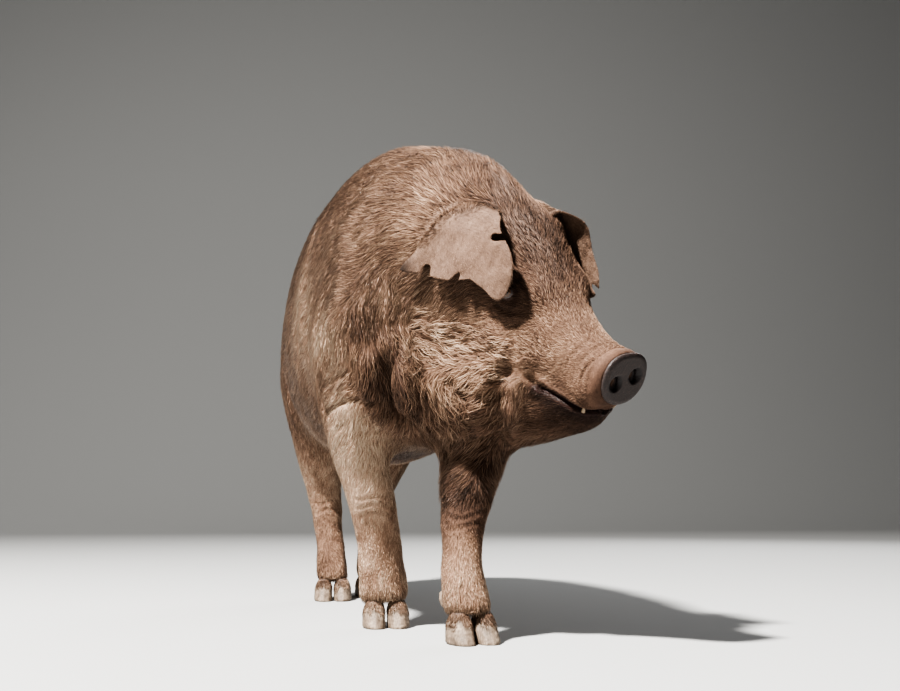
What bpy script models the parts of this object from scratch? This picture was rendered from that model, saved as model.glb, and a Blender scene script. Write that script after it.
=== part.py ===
"""Standing pig of a heavy, lop-eared, bristly red breed, life size, in metres.

+Z is up, the pig looks along -Y and its left side is +X, so its head, turned to its left, points to
-Y and +X. All of the flesh is modelled whole: tapered lofts for trunk, neck, head, jaw and limbs are
fused by a voxel remesh and smoothed, and the whole is then parted with thin cuts into the named
pieces. Ears, tail, eyes, snout disc, claws and teeth are made on their own and sit in sockets.
"""

from math import cos, exp, pi, radians, sin

import bmesh
import bpy
from mathutils import Vector

for old in list(bpy.data.objects):
    bpy.data.objects.remove(old, do_unlink=True)

# ---------------------------------------------------------------- driving dimensions
GAP = 0.0004  # clearance left by every cut and round every inset piece
RING_POINTS = 20  # points round each section of a loft
VOXEL = 0.009  # grain of the remesh that fuses the flesh
SOFTENING = 14  # smoothing passes over the fused flesh
FLESH_TRIANGLES = 3450  # triangles kept in the whole of the flesh
LEFT, RIGHT = 1, -1  # sides of the pig, as the sign of X

# The head is carried from its pivot, a point inside the back of the skull.
HEAD_PIVOT = Vector((0.109, -0.464, 0.572))
HEAD_YAW = 33.0  # turned to the pig's left, degrees
HEAD_PITCH = 25.0  # nose down, degrees
HEAD_ROLL = 11.0  # right cheek lower than the left, degrees
MUZZLE_END = 0.281  # pivot to the back of the snout disc, along the head

COLLECTION = bpy.data.collections.new("pig")
bpy.context.scene.collection.children.link(COLLECTION)


# ---------------------------------------------------------------- materials
def material(name, colour, roughness):
    """A Principled material of one colour."""
    made = bpy.data.materials.new(name)
    made.use_nodes = True
    shader = made.node_tree.nodes["Principled BSDF"]
    shader.inputs["Base Color"].default_value = (*colour, 1.0)
    shader.inputs["Roughness"].default_value = roughness
    shader.inputs["Metallic"].default_value = 0.0
    return made


COAT = material("red_brown_bristle", (0.34, 0.19, 0.11), 0.75)
EAR_SKIN = material("velvet_ear_skin", (0.42, 0.27, 0.19), 0.70)
DISC_SKIN = material("moist_snout_skin", (0.16, 0.10, 0.09), 0.40)
HOOF_HORN = material("pale_hoof_horn", (0.55, 0.46, 0.36), 0.55)
EYE_WET = material("wet_dark_eye", (0.05, 0.03, 0.02), 0.10)
ENAMEL = material("tooth_enamel", (0.78, 0.70, 0.55), 0.30)


# ---------------------------------------------------------------- helpers
def axes(yaw, pitch, roll=0.0):
    """Forward, up and left of a section: yaw to the pig's left, pitch down, roll right side down."""
    y, p, r = radians(yaw), radians(pitch), radians(roll)
    forward = Vector((cos(p) * sin(y), -cos(p) * cos(y), -sin(p)))
    level_up = Vector((sin(p) * sin(y), -sin(p) * cos(y), cos(p)))
    level_left = Vector((cos(y), sin(y), 0.0))
    return (
        forward,
        level_up * cos(r) - level_left * sin(r),
        level_left * cos(r) + level_up * sin(r),
    )


HEAD_AXES = axes(HEAD_YAW, HEAD_PITCH, HEAD_ROLL)
HEAD_FORWARD, HEAD_UP, HEAD_LEFT = HEAD_AXES
BODY_AXES = axes(0.0, 0.0)


def in_head(along, height, aside=0.0):
    """A point given along, above and to the left of the head's pivot."""
    return HEAD_PIVOT + HEAD_FORWARD * along + HEAD_UP * height + HEAD_LEFT * aside


def object_from(name, bm, mat=COAT):
    """A named object from a bmesh, with its faces turned outwards."""
    bmesh.ops.recalc_face_normals(bm, faces=bm.faces)
    if bm.calc_volume(signed=True) < 0:
        bmesh.ops.reverse_faces(bm, faces=bm.faces)
    mesh = bpy.data.meshes.new(name)
    bm.to_mesh(mesh)
    bm.free()
    made = bpy.data.objects.new(name, mesh)
    made.data.materials.append(mat)
    COLLECTION.objects.link(made)
    return made


def applied(source, name, mat=COAT):
    """A mesh object of what source looks like with its modifiers, in place of source."""
    bpy.context.view_layer.update()
    evaluated = source.evaluated_get(bpy.context.evaluated_depsgraph_get())
    mesh = bpy.data.meshes.new_from_object(evaluated)
    mesh.transform(source.matrix_world)
    bpy.data.objects.remove(source, do_unlink=True)
    bm = bmesh.new()
    bm.from_mesh(mesh)
    bpy.data.meshes.remove(mesh)
    bmesh.ops.remove_doubles(bm, verts=bm.verts, dist=1e-6)
    for face in bm.faces:
        face.material_index = 0
    return object_from(name, bm, mat)


def discard(*objects):
    for o in objects:
        bpy.data.objects.remove(o, do_unlink=True)


def signed_power(value, power):
    return abs(value) ** power * (1 if value >= 0 else -1)


def ring(centre, across, upward, half_width, rise, fall, fullness=2.2, count=RING_POINTS):
    """Points of one section: rise above its widest level and fall below it, on a superellipse.

    fullness is one power, or one for the upper half and one for the lower.
    """
    upper, lower = fullness if isinstance(fullness, tuple) else (fullness, fullness)
    points = []
    for k in range(count):
        turn = 2 * pi * k / count
        high = sin(turn) > 0
        power = 2 / (upper if high else lower)
        x = half_width * signed_power(cos(turn), power)
        z = (rise if high else fall) * signed_power(sin(turn), power)
        points.append(centre + across * x + upward * z)
    return points


def skinned(name, rings, levels=2, mat=COAT):
    """A closed loft through rings of equal count, rounded by subdivision."""
    bm = bmesh.new()
    rows = [[bm.verts.new(p) for p in points] for points in rings]
    count = len(rows[0])
    for low, high in zip(rows, rows[1:]):
        for k in range(count):
            n = (k + 1) % count
            bm.faces.new((low[k], low[n], high[n], high[k]))
    bm.faces.new(rows[0])
    bm.faces.new(rows[-1])
    made = object_from(name, bm, mat)
    if levels:
        rounding = made.modifiers.new("rounding", "SUBSURF")
        rounding.levels = rounding.render_levels = levels
        made = applied(made, name, mat)
    return made


def ellipsoid(name, centre, radii, frame=BODY_AXES, mat=COAT, segments=20):
    """A rounded mass: radii are along, across and up in the frame's axes."""
    bm = bmesh.new()
    bmesh.ops.create_uvsphere(bm, u_segments=segments, v_segments=segments // 2, radius=1.0)
    forward, up, left = frame
    for v in bm.verts:
        x, y, z = v.co
        v.co = centre + forward * (x * radii[0]) + left * (y * radii[1]) + up * (z * radii[2])
    return object_from(name, bm, mat)


def boolean(target, other, operation, name=None, mat=COAT):
    """target cut by or joined with other, kept closed; other is left as it is."""
    step = target.modifiers.new(operation.lower(), "BOOLEAN")
    step.operation = operation
    step.solver = "EXACT"
    step.object = other
    return applied(target, name or target.name, mat)


def grown(source, name, by=GAP):
    """A copy of source with its surface pushed out, to cut the socket that source sits in."""
    bm = bmesh.new()
    bm.from_mesh(source.data)
    bm.normal_update()
    moved = [(v, v.co + v.normal * (by * 1.3)) for v in bm.verts]
    for v, place in moved:
        v.co = place
    return object_from(name, bm)


def seated(target, piece):
    """target with a socket cut for piece, GAP wider than piece all round."""
    cutter = grown(piece, "socket_cutter")
    target = boolean(target, cutter, "DIFFERENCE")
    discard(cutter)
    return target


def half(source, name, point, normal, mat=COAT):
    """The part of source on the side of the plane that normal points to, capped, GAP / 2 clear."""
    bm = bmesh.new()
    bm.from_mesh(source.data)
    geometry = bm.verts[:] + bm.edges[:] + bm.faces[:]
    cut = bmesh.ops.bisect_plane(
        bm,
        geom=geometry,
        dist=1e-7,
        plane_co=point + normal * (GAP / 2),
        plane_no=normal,
        clear_inner=True,
    )
    rim = [e for e in cut["geom_cut"] if isinstance(e, bmesh.types.BMEdge)]
    bmesh.ops.holes_fill(bm, edges=rim, sides=0)
    bmesh.ops.triangulate(bm, faces=[f for f in bm.faces if len(f.verts) > 4])
    return object_from(name, bm, mat)


def parted(source, point, normal, ahead, behind, mat=COAT):
    """source cut by a plane into two pieces; ahead is the one that normal points to."""
    pieces = half(source, ahead, point, normal, mat), half(source, behind, point, -normal, mat)
    discard(source)
    return pieces


def curve_tube(name, points, radii, mat=COAT):
    """A closed tube along a route, with its own radius at each point."""
    data = bpy.data.curves.new(name, "CURVE")
    data.dimensions = "3D"
    data.bevel_depth = 1.0
    data.bevel_resolution = 1
    data.use_fill_caps = True
    spline = data.splines.new("POLY")
    spline.points.add(len(points) - 1)
    for place, point, radius in zip(spline.points, points, radii):
        place.co = (*point, 1.0)
        place.radius = radius
    made = bpy.data.objects.new(name, data)
    COLLECTION.objects.link(made)
    return applied(made, name, mat)


# ---------------------------------------------------------------- trunk and neck
# Each section: place along Y, level of greatest width, half width, rise to the back, fall to the belly.
TRUNK = (
    (-0.490, 0.610, 0.105, 0.150, 0.190),
    (-0.410, 0.610, 0.163, 0.240, 0.290),
    (-0.280, 0.605, 0.190, 0.298, 0.292),
    (-0.120, 0.600, 0.203, 0.322, 0.295),
    (0.060, 0.595, 0.213, 0.342, 0.298),
    (0.240, 0.595, 0.211, 0.338, 0.285),
    (0.400, 0.605, 0.202, 0.306, 0.250),
    (0.540, 0.620, 0.182, 0.245, 0.205),
    (0.640, 0.630, 0.140, 0.165, 0.145),
    (0.690, 0.630, 0.070, 0.085, 0.080),
)
TRUNK_FULLNESS = (2.12, 2.4)  # rounder over the back, fuller towards the belly


def trunk_form():
    rings = []
    for y, level, width, rise, fall in TRUNK:
        middle = Vector((0.0, y, level))
        _, up, left = BODY_AXES
        rings.append(ring(middle, left, up, width, rise, fall, TRUNK_FULLNESS))
    return skinned("trunk_form", rings)


# Each section of the neck: its share of the head's turn, centre, half width, rise and fall.
NECK = (
    (0.00, (0.000, -0.220, 0.610), 0.165, 0.275, 0.250),
    (0.25, (0.014, -0.320, 0.605), 0.167, 0.275, 0.260),
    (0.55, (0.042, -0.395, 0.592), 0.152, 0.268, 0.260),
    (0.80, (0.072, -0.440, 0.580), 0.134, 0.238, 0.245),
    (1.00, (0.100, -0.478, 0.568), 0.118, 0.190, 0.215),
    (1.00, (0.132, -0.520, 0.545), 0.095, 0.135, 0.160),
)
NECK_FULLNESS = (2.0, 2.2)


def neck_form():
    rings = []
    for share, centre, width, rise, fall in NECK:
        _, up, left = axes(HEAD_YAW * share, HEAD_PITCH * share, HEAD_ROLL * share)
        rings.append(ring(Vector(centre), left, up, width, rise, fall, NECK_FULLNESS))
    return skinned("neck_form", rings)


# ---------------------------------------------------------------- head
# Each section of skull and muzzle: distance ahead of the pivot, level, half width, rise, fall and
# the squareness of its top. The brow falls steeply into the dished face.
SKULL = (
    (-0.090, 0.020, 0.112, 0.165, 0.160, 2.2),
    (-0.030, 0.025, 0.120, 0.168, 0.160, 2.5),
    (0.030, 0.022, 0.116, 0.158, 0.150, 2.7),
    (0.080, 0.005, 0.105, 0.126, 0.130, 2.6),
    (0.130, -0.014, 0.086, 0.090, 0.098, 2.3),
    (0.180, -0.032, 0.069, 0.067, 0.066, 2.2),
    (0.230, -0.039, 0.060, 0.051, 0.052, 2.2),
    (0.270, -0.039, 0.056, 0.044, 0.046, 2.2),
    (0.312, -0.038, 0.055, 0.044, 0.044, 2.2),
)
# Each section of jaw and throat: the same without the squareness.
JAW = (
    (-0.085, -0.100, 0.112, 0.100, 0.100),
    (-0.020, -0.120, 0.134, 0.115, 0.120),
    (0.050, -0.125, 0.134, 0.110, 0.124),
    (0.110, -0.118, 0.111, 0.090, 0.122),
    (0.165, -0.112, 0.084, 0.060, 0.094),
    (0.212, -0.106, 0.062, 0.040, 0.064),
    (0.246, -0.104, 0.049, 0.028, 0.046),
    (0.270, -0.102, 0.036, 0.016, 0.028),
)
JAW_FULLNESS = 2.1


def skull_form():
    rings = []
    for along, level, width, rise, fall, squareness in SKULL:
        centre = in_head(along, level)
        rings.append(ring(centre, HEAD_LEFT, HEAD_UP, width, rise, fall, (squareness, 2.1)))
    return skinned("skull_form", rings)


def jaw_form():
    rings = []
    for along, level, width, rise, fall in JAW:
        centre = in_head(along, level)
        rings.append(ring(centre, HEAD_LEFT, HEAD_UP, width, rise, fall, JAW_FULLNESS))
    return skinned("jaw_form", rings)


# Rounded masses on the head, each on both sides: ahead, level, aside, then radii along, across, up.
HEAD_MASSES = {
    "brow": (0.078, 0.056, 0.056, 0.070, 0.032, 0.034),
    "cheekbone": (0.045, -0.035, 0.072, 0.120, 0.038, 0.080),
    "jowl": (0.010, -0.145, 0.070, 0.118, 0.074, 0.098),
    "lip": (0.235, -0.070, 0.036, 0.062, 0.025, 0.024),
    "ear_root": (0.000, 0.128, 0.066, 0.062, 0.034, 0.040),
    "throat": (-0.070, -0.150, 0.050, 0.120, 0.080, 0.100),
}


def head_masses():
    made = []
    for name, (along, level, aside, length, width, height) in HEAD_MASSES.items():
        for side in (LEFT, RIGHT):
            centre = in_head(along, level, aside * side)
            made.append(ellipsoid(f"{name}_form", centre, (length, width, height), HEAD_AXES))
    return made


# ---------------------------------------------------------------- limbs
# Each level of a limb: centre, half width across the body, half depth along it.
FORE_LEFT = (
    ((0.080, -0.215, 0.720), 0.055, 0.090),
    ((0.108, -0.228, 0.630), 0.070, 0.120),
    ((0.122, -0.255, 0.520), 0.078, 0.132),
    ((0.114, -0.300, 0.420), 0.070, 0.110),
    ((0.094, -0.350, 0.340), 0.064, 0.082),
    ((0.073, -0.400, 0.270), 0.054, 0.062),
    ((0.055, -0.435, 0.210), 0.047, 0.052),
    ((0.044, -0.448, 0.165), 0.038, 0.041),
    ((0.042, -0.458, 0.115), 0.038, 0.040),
    ((0.045, -0.466, 0.078), 0.043, 0.045),
    ((0.047, -0.478, 0.052), 0.045, 0.045),
    ((0.049, -0.484, 0.030), 0.043, 0.043),
)
FORE_RIGHT = (
    ((-0.080, -0.215, 0.720), 0.055, 0.090),
    ((-0.108, -0.225, 0.630), 0.070, 0.120),
    ((-0.122, -0.238, 0.520), 0.078, 0.132),
    ((-0.120, -0.242, 0.420), 0.072, 0.110),
    ((-0.105, -0.240, 0.340), 0.058, 0.082),
    ((-0.086, -0.238, 0.270), 0.050, 0.060),
    ((-0.073, -0.232, 0.210), 0.047, 0.052),
    ((-0.058, -0.216, 0.165), 0.044, 0.044),
    ((-0.050, -0.204, 0.115), 0.045, 0.043),
    ((-0.047, -0.200, 0.078), 0.047, 0.047),
    ((-0.045, -0.206, 0.052), 0.047, 0.046),
    ((-0.044, -0.212, 0.030), 0.045, 0.043),
)
HIND_LEFT = (
    ((0.080, 0.470, 0.760), 0.070, 0.110),
    ((0.100, 0.480, 0.660), 0.082, 0.150),
    ((0.112, 0.478, 0.560), 0.085, 0.168),
    ((0.110, 0.472, 0.450), 0.076, 0.152),
    ((0.094, 0.492, 0.360), 0.060, 0.108),
    ((0.074, 0.545, 0.285), 0.045, 0.068),
    ((0.060, 0.582, 0.225), 0.038, 0.055),
    ((0.053, 0.578, 0.170), 0.035, 0.043),
    ((0.048, 0.560, 0.115), 0.035, 0.039),
    ((0.045, 0.542, 0.078), 0.040, 0.043),
    ((0.043, 0.528, 0.052), 0.041, 0.043),
    ((0.042, 0.522, 0.030), 0.038, 0.041),
)
HIND_RIGHT = (
    ((-0.080, 0.460, 0.760), 0.070, 0.110),
    ((-0.100, 0.468, 0.660), 0.082, 0.150),
    ((-0.114, 0.456, 0.560), 0.085, 0.168),
    ((-0.116, 0.430, 0.450), 0.077, 0.152),
    ((-0.107, 0.420, 0.360), 0.062, 0.108),
    ((-0.092, 0.445, 0.285), 0.048, 0.068),
    ((-0.081, 0.465, 0.225), 0.040, 0.055),
    ((-0.075, 0.456, 0.170), 0.036, 0.043),
    ((-0.071, 0.436, 0.115), 0.036, 0.039),
    ((-0.069, 0.418, 0.078), 0.040, 0.043),
    ((-0.068, 0.402, 0.052), 0.041, 0.043),
    ((-0.068, 0.396, 0.030), 0.038, 0.041),
)
# Each limb: its levels, its side, and how far its toes turn to the pig's left, degrees.
LIMBS = {
    "foreleg_left": (FORE_LEFT, LEFT, 8.0),
    "foreleg_right": (FORE_RIGHT, RIGHT, -2.0),
    "hindleg_left": (HIND_LEFT, LEFT, 5.0),
    "hindleg_right": (HIND_RIGHT, RIGHT, -5.0),
}
LIMB_FULLNESS = 2.2
KNEE_LEVEL = 0.190  # where a limb is parted into its upper and lower length
CORONET_LEVEL = 0.044  # where flesh ends and horn begins


# Rounded masses of hams and shoulders: centre, then radii along, across and up.
TRUNK_MASSES = (
    ((0.098, 0.500, 0.530), (0.150, 0.098, 0.160)),
    ((-0.098, 0.470, 0.540), (0.160, 0.098, 0.160)),
    ((0.098, -0.235, 0.560), (0.130, 0.100, 0.200)),
    ((-0.098, -0.235, 0.560), (0.130, 0.100, 0.200)),
)


def trunk_masses():
    return [ellipsoid("mass_form", Vector(centre), radii) for centre, radii in TRUNK_MASSES]


def limb_form(name, levels):
    forward, _, left = BODY_AXES
    rings = []
    for centre, wide, deep in levels:
        rings.append(ring(Vector(centre), left, forward, wide, deep, deep, LIMB_FULLNESS))
    return skinned(f"{name}_form", rings)


# The cutter that parts a limb from the trunk: from the side, a tombstone that follows the limb up
# to a domed top; from the front, a slab from a leaning inner face out past the flank.
CUTTER_TOP = 2  # the limb's level where the dome begins
CUTTER_SPARE = 0.030  # how far the tombstone stands out fore and aft of the limb
CUTTER_DOME = 0.100  # height of the dome
CUTTER_INNER = -0.012  # the inner face at floor level, from the pig's middle
CUTTER_LEAN = 0.10  # how far it leans out with height
CUTTER_OUTER = 0.350  # the outer face
DOME_STEPS = 7


def limb_cutter(levels, side, grow):
    """The tombstone, with every face that meets the flesh moved out by grow."""
    front, back = [], []
    for (_, y, z), _, deep in levels[CUTTER_TOP:]:
        reach = deep + CUTTER_SPARE + grow
        front.append((y - reach, z))
        back.append((y + reach, z))
    (_, y, z), _, deep = levels[CUTTER_TOP]
    reach = deep + CUTTER_SPARE + grow
    dome = []
    for step in range(1, DOME_STEPS):
        turn = pi * step / DOME_STEPS
        dome.append((y - reach * cos(turn), z + (CUTTER_DOME + grow) * sin(turn)))
    floor = -0.02
    outline = [(front[-1][0], floor), *reversed(front), *dome, *back, (back[-1][0], floor)]
    inner = [Vector((side * (CUTTER_INNER - grow + CUTTER_LEAN * z), y, z)) for y, z in outline]
    outer = [Vector((side * CUTTER_OUTER, y, z)) for y, z in outline]
    return skinned("limb_cutter", (inner, outer), levels=0)


def limb_parted(body, name, levels, side):
    """The body without the limb, and the limb."""
    cutter = limb_cutter(levels, side, 0.0)
    limb = boolean(object_from(name, bmesh_of(body)), cutter, "INTERSECT", name)
    discard(cutter)
    wider = limb_cutter(levels, side, GAP)
    body = boolean(body, wider, "DIFFERENCE")
    discard(wider)
    return body, limb


def bmesh_of(source):
    bm = bmesh.new()
    bm.from_mesh(source.data)
    return bm


# ---------------------------------------------------------------- the whole of the flesh
def keep_detail(flesh):
    """Weights that thin the trunk more than the limbs, and the limbs more than the head."""
    group = flesh.vertex_groups.new(name="thinning")
    face = in_head(0.16, -0.03)
    for v in flesh.data.vertices:
        on_head = 1 / (1 + exp(((v.co - face).length - 0.19) / 0.02))
        on_limb = 1 / (1 + exp((v.co.z - 0.33) / 0.03))
        group.add([v.index], 1 - 0.5 * on_head - 0.35 * on_limb * (1 - on_head), "REPLACE")
    return group.name


def whole_flesh():
    """Every fleshy form fused into one closed, smoothed mesh, level with the coronets below."""
    forms = [trunk_form(), neck_form(), skull_form(), jaw_form(), *head_masses()]
    forms += [*trunk_masses(), *(limb_form(name, levels) for name, (levels, *_) in LIMBS.items())]
    bm = bmesh.new()
    for form in forms:
        bm.from_mesh(form.data)
    discard(*forms)
    flesh = object_from("flesh", bm)
    fuse = flesh.modifiers.new("fuse", "REMESH")
    fuse.mode = "VOXEL"
    fuse.voxel_size = VOXEL
    soften = flesh.modifiers.new("soften", "SMOOTH")
    soften.factor = 0.5
    soften.iterations = SOFTENING
    fused = applied(flesh, "fused")
    flesh = half(fused, "flesh", Vector((0, 0, CORONET_LEVEL)), Vector((0, 0, 1)))
    discard(fused)
    thin = flesh.modifiers.new("thin", "DECIMATE")
    thin.vertex_group = keep_detail(flesh)
    thin.vertex_group_factor = 0.5
    flesh.data.calc_loop_triangles()
    thin.ratio = FLESH_TRIANGLES / len(flesh.data.loop_triangles)
    thin.use_collapse_triangulate = True
    return applied(flesh, "flesh")


# ---------------------------------------------------------------- ears
# An ear is modelled flat, in a plane of distance ahead and distance out from the root, notched, and
# then hung: it leaves the skull rising, turns down within a thumb's width and droops beside the face.
EAR_START = (0.066, 0.158)  # aside and height of the root
EAR_RISE = 35.0  # slope of the root, degrees
EAR_DROOP = -68.0  # slope of the hanging flap, degrees
EAR_TURN = 0.018  # how quickly one turns into the other
EAR_BENDS = (-0.008, 0.002, 0.010, 0.018, 0.027, 0.038, 0.055, 0.085)  # where its sheet is creased
EAR_ROOT = -0.030  # how far the root goes inside the skull
EAR_THICKNESS = 0.005
EAR_EASING = 2  # points of the eased outline for each point given
EAR_FLARE = 0.50  # how far the back of the flap stands off the neck, for its distance behind the root
EAR_FLARE_OUT = 0.040  # distance out from the root where it is flared in full
EAR_TUCK = 2.13  # how far its front leans in to the cheek, for its distances ahead of and out from the root

# Outlines: distance ahead and distance out, from the front of the root round the tip and back.
EAR_RIGHT_OUTLINE = (
    (0.030, 0.006),
    (0.063, 0.042),
    (0.091, 0.064),
    (0.108, 0.088),
    (0.116, 0.119),
    (0.112, 0.151),
    (0.098, 0.157),
    (0.078, 0.148),
    (0.048, 0.138),
    (0.023, 0.148),
    (-0.016, 0.154),
    (-0.044, 0.154),
    (-0.073, 0.157),
    (-0.064, 0.120),
    (-0.053, 0.072),
    (-0.038, 0.034),
)
EAR_LEFT_OUTLINE = (
    (0.034, 0.006),
    (0.072, 0.012),
    (0.090, 0.038),
    (0.098, 0.074),
    (0.120, 0.108),
    (0.126, 0.143),
    (0.098, 0.169),
    (0.056, 0.173),
    (0.006, 0.163),
    (-0.040, 0.158),
    (-0.074, 0.151),
    (-0.070, 0.116),
    (-0.057, 0.072),
    (-0.038, 0.034),
)
# Notches clipped from the edge: from and to, each a place and a radius.
EAR_RIGHT_NOTCHES = (
    ((0.060, 0.058), 0.0068, (0.080, 0.052), 0.0045),
    ((0.026, 0.131), 0.0016, (0.020, 0.160), 0.0110),
    ((-0.034, 0.142), 0.0060, (-0.030, 0.166), 0.0090),
)
EAR_LEFT_NOTCHES = (
    ((-0.015, 0.146), 0.0030, (-0.015, 0.172), 0.0100),
    ((0.108, 0.141), 0.0030, (0.134, 0.152), 0.0080),
)


def smooth_outline(points, steps):
    """A closed run of points eased by a Catmull-Rom curve."""
    eased = []
    count = len(points)
    for k in range(count):
        before, start, end, after = (Vector(points[(k + n) % count]) for n in (-1, 0, 1, 2))
        for step in range(steps):
            t = step / steps
            eased.append(
                0.5
                * (
                    2 * start
                    + (end - before) * t
                    + (2 * before - 5 * start + 4 * end - after) * t**2
                    + (3 * start - before - 3 * end + after) * t**3
                )
            )
    return eased


def prism(name, outline, low, high):
    """A flat outline of X and Y made solid between two levels."""
    return skinned(name, [[Vector((*p, z)) for p in outline] for z in (low, high)], levels=0)


def notch_outline(start, start_radius, end, end_radius, steps=4):
    """Two arcs and the sides between them."""
    start, end = Vector(start), Vector(end)
    ahead = (end - start).normalized()
    aside = Vector((-ahead.y, ahead.x))
    outline = []
    for centre, radius, first in ((start, start_radius, 0.5), (end, end_radius, -0.5)):
        for step in range(steps + 1):
            turn = pi * (first + step / steps)
            outline.append(centre + (ahead * cos(turn) + aside * sin(turn)) * radius)
    return outline


def hung(out):
    """Aside, height and outward normal of the hanging flap at a distance out from its root."""
    aside, height = EAR_START
    step = 0.001
    travelled = 0.0
    slope = radians(EAR_RISE)
    if out < 0:
        return aside + out * cos(slope), height + out * sin(slope), (-sin(slope), cos(slope))
    while travelled < out:
        length = min(step, out - travelled)
        slope = radians(EAR_DROOP + (EAR_RISE - EAR_DROOP) * exp(-travelled / EAR_TURN))
        aside += length * cos(slope)
        height += length * sin(slope)
        travelled += length
    return aside, height, (-sin(slope), cos(slope))


def ear(name, outline, notches, side):
    """The flap with its root, cut from a flat sheet and hung beside the head."""
    front, back = outline[0], outline[-1]
    eased = smooth_outline(outline, EAR_EASING)[: EAR_EASING * (len(outline) - 1) + 1]
    eased += [Vector((back[0] + 0.006, EAR_ROOT)), Vector((front[0] - 0.006, EAR_ROOT))]
    flat = prism(name, eased, -EAR_THICKNESS / 2, EAR_THICKNESS / 2)
    for notch in notches:
        bite = prism("bite", notch_outline(*notch), -EAR_THICKNESS, EAR_THICKNESS)
        flat = boolean(flat, bite, "DIFFERENCE", name, EAR_SKIN)
        discard(bite)
    bm = bmesh_of(flat)
    discard(flat)
    bmesh.ops.triangulate(bm, faces=bm.faces)
    for out in EAR_BENDS:
        geometry = bm.verts[:] + bm.edges[:] + bm.faces[:]
        crease = Vector((0, out, 0))
        bmesh.ops.bisect_plane(bm, geom=geometry, plane_co=crease, plane_no=Vector((0, 1, 0)))
    for v in bm.verts:
        along, out, off = v.co
        aside, height, (n_aside, n_height) = hung(out)
        flared = EAR_FLARE * min(1.0, max(0.0, out) / EAR_FLARE_OUT)
        aside += flared * max(0.0, -along - 0.02) + n_aside * off
        aside -= EAR_TUCK * max(0.0, along) * max(0.0, out)
        v.co = in_head(along, height + n_height * off, aside * side)
    bmesh.ops.triangulate(bm, faces=bm.faces)
    return object_from(name, bm, EAR_SKIN)


# ---------------------------------------------------------------- snout disc
DISC_HEIGHT = -0.038  # its middle, above the pivot
DISC_HALF = (0.0530, 0.0445)  # half width and half height
DISC_THICKNESS = 0.019
NOSTRIL_ASIDE = 0.0215
NOSTRIL_TURN = 0.0045  # how much higher the left one is than the middle, and the right one lower
NOSTRIL_RADII = (0.016, 0.0085, 0.0115)  # depth, half width and half height


def snout_disc():
    """The flat gristly end of the snout, rounded at the rim, with two nostril pits."""
    rings = []
    for along, shrink in (
        (0.0, 0.96),
        (0.25, 1.0),
        (0.60, 1.0),
        (0.88, 0.94),
        (1.0, 0.84),
    ):
        centre = in_head(MUZZLE_END + GAP / 2 + DISC_THICKNESS * along, DISC_HEIGHT)
        half_width, half_height = (size * shrink for size in DISC_HALF)
        fullness = (2.5, 2.1)
        rings.append(
            ring(centre, HEAD_LEFT, HEAD_UP, half_width, half_height, half_height, fullness, 24)
        )
    disc = skinned("snout_disc", rings, levels=0, mat=DISC_SKIN)
    for side in (LEFT, RIGHT):
        height = DISC_HEIGHT - 0.002 + NOSTRIL_TURN * side
        mouth = in_head(MUZZLE_END + DISC_THICKNESS, height, NOSTRIL_ASIDE * side)
        pit = ellipsoid("pit", mouth, NOSTRIL_RADII, HEAD_AXES, segments=12)
        disc = boolean(disc, pit, "DIFFERENCE", "snout_disc", DISC_SKIN)
        discard(pit)
    return disc


# ---------------------------------------------------------------- eyes and tusks
EYE_PLACE = (0.100, 0.046, 0.092)  # ahead, height and aside, near the surface
EYE_RADIUS = 0.0125
EYE_SUNK = 0.0085  # how far its centre lies below the surface


def eye(name, head, side):
    """The eyeball, set by the surface of the head nearest to its place."""
    _, surface, normal, _ = head.closest_point_on_mesh(in_head(*EYE_PLACE[:2], EYE_PLACE[2] * side))
    radii = (EYE_RADIUS, EYE_RADIUS, EYE_RADIUS)
    return ellipsoid(name, surface - normal * EYE_SUNK, radii, HEAD_AXES, EYE_WET, segments=10)


TUSK_ROUTE = ((0.250, -0.116, 0.030), (0.258, -0.104, 0.039), (0.264, -0.092, 0.046))
TUSK_RADII = (0.0050, 0.0042, 0.0015)


def tusk(name, side):
    """The tip of a lower tusk, curving up and out between the lips."""
    rings = []
    for (along, height, aside), radius in zip(TUSK_ROUTE, TUSK_RADII):
        centre = in_head(along, height, aside * side)
        rings.append(ring(centre, HEAD_LEFT, HEAD_FORWARD, radius, radius, radius, 2.0, 8))
    return skinned(name, rings, levels=0, mat=ENAMEL)


# ---------------------------------------------------------------- tail
TAIL_START = Vector((0.0, 0.640, 0.735))
TAIL_AXIS = Vector((0.10, 0.36, -0.93)).normalized()
TAIL_LENGTH = 0.185  # of the coil's axis
TAIL_TURNS = 1.25
TAIL_COIL = 0.034  # radius of the coil
TAIL_RADII = (0.016, 0.0055)  # at the root and the tip
TAIL_POINTS = 22


def tail():
    """A thin tail that comes out of the rump, drops and curls once round."""
    sideways = TAIL_AXIS.cross(Vector((0, 0, 1))).normalized()
    backward = sideways.cross(TAIL_AXIS) * -1
    route, radii = [], []
    for k in range(TAIL_POINTS):
        t = k / (TAIL_POINTS - 1)
        turn = 2 * pi * TAIL_TURNS * t
        opening = TAIL_COIL * min(1.0, 1.6 * t)
        route.append(
            TAIL_START
            + TAIL_AXIS * TAIL_LENGTH * t * (1 - 0.25 * t)
            + Vector((0, 0.075, 0)) * min(1.0, 5 * t)
            + (sideways * sin(turn) + backward * (1 - cos(turn))) * opening
        )
        radii.append(TAIL_RADII[0] + (TAIL_RADII[1] - TAIL_RADII[0]) * t**0.8)
    return curve_tube("tail", route, radii)


# ---------------------------------------------------------------- claws
CLAW_LENGTH = 0.072  # of the sole
CLAW_WIDTH = 0.042
CLAW_GAP = 0.0035  # between the two claws of a foot
CLAW_AHEAD = 0.020  # the sole's middle, ahead of the coronet's
CLAW_TOP = CORONET_LEVEL - GAP
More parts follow.
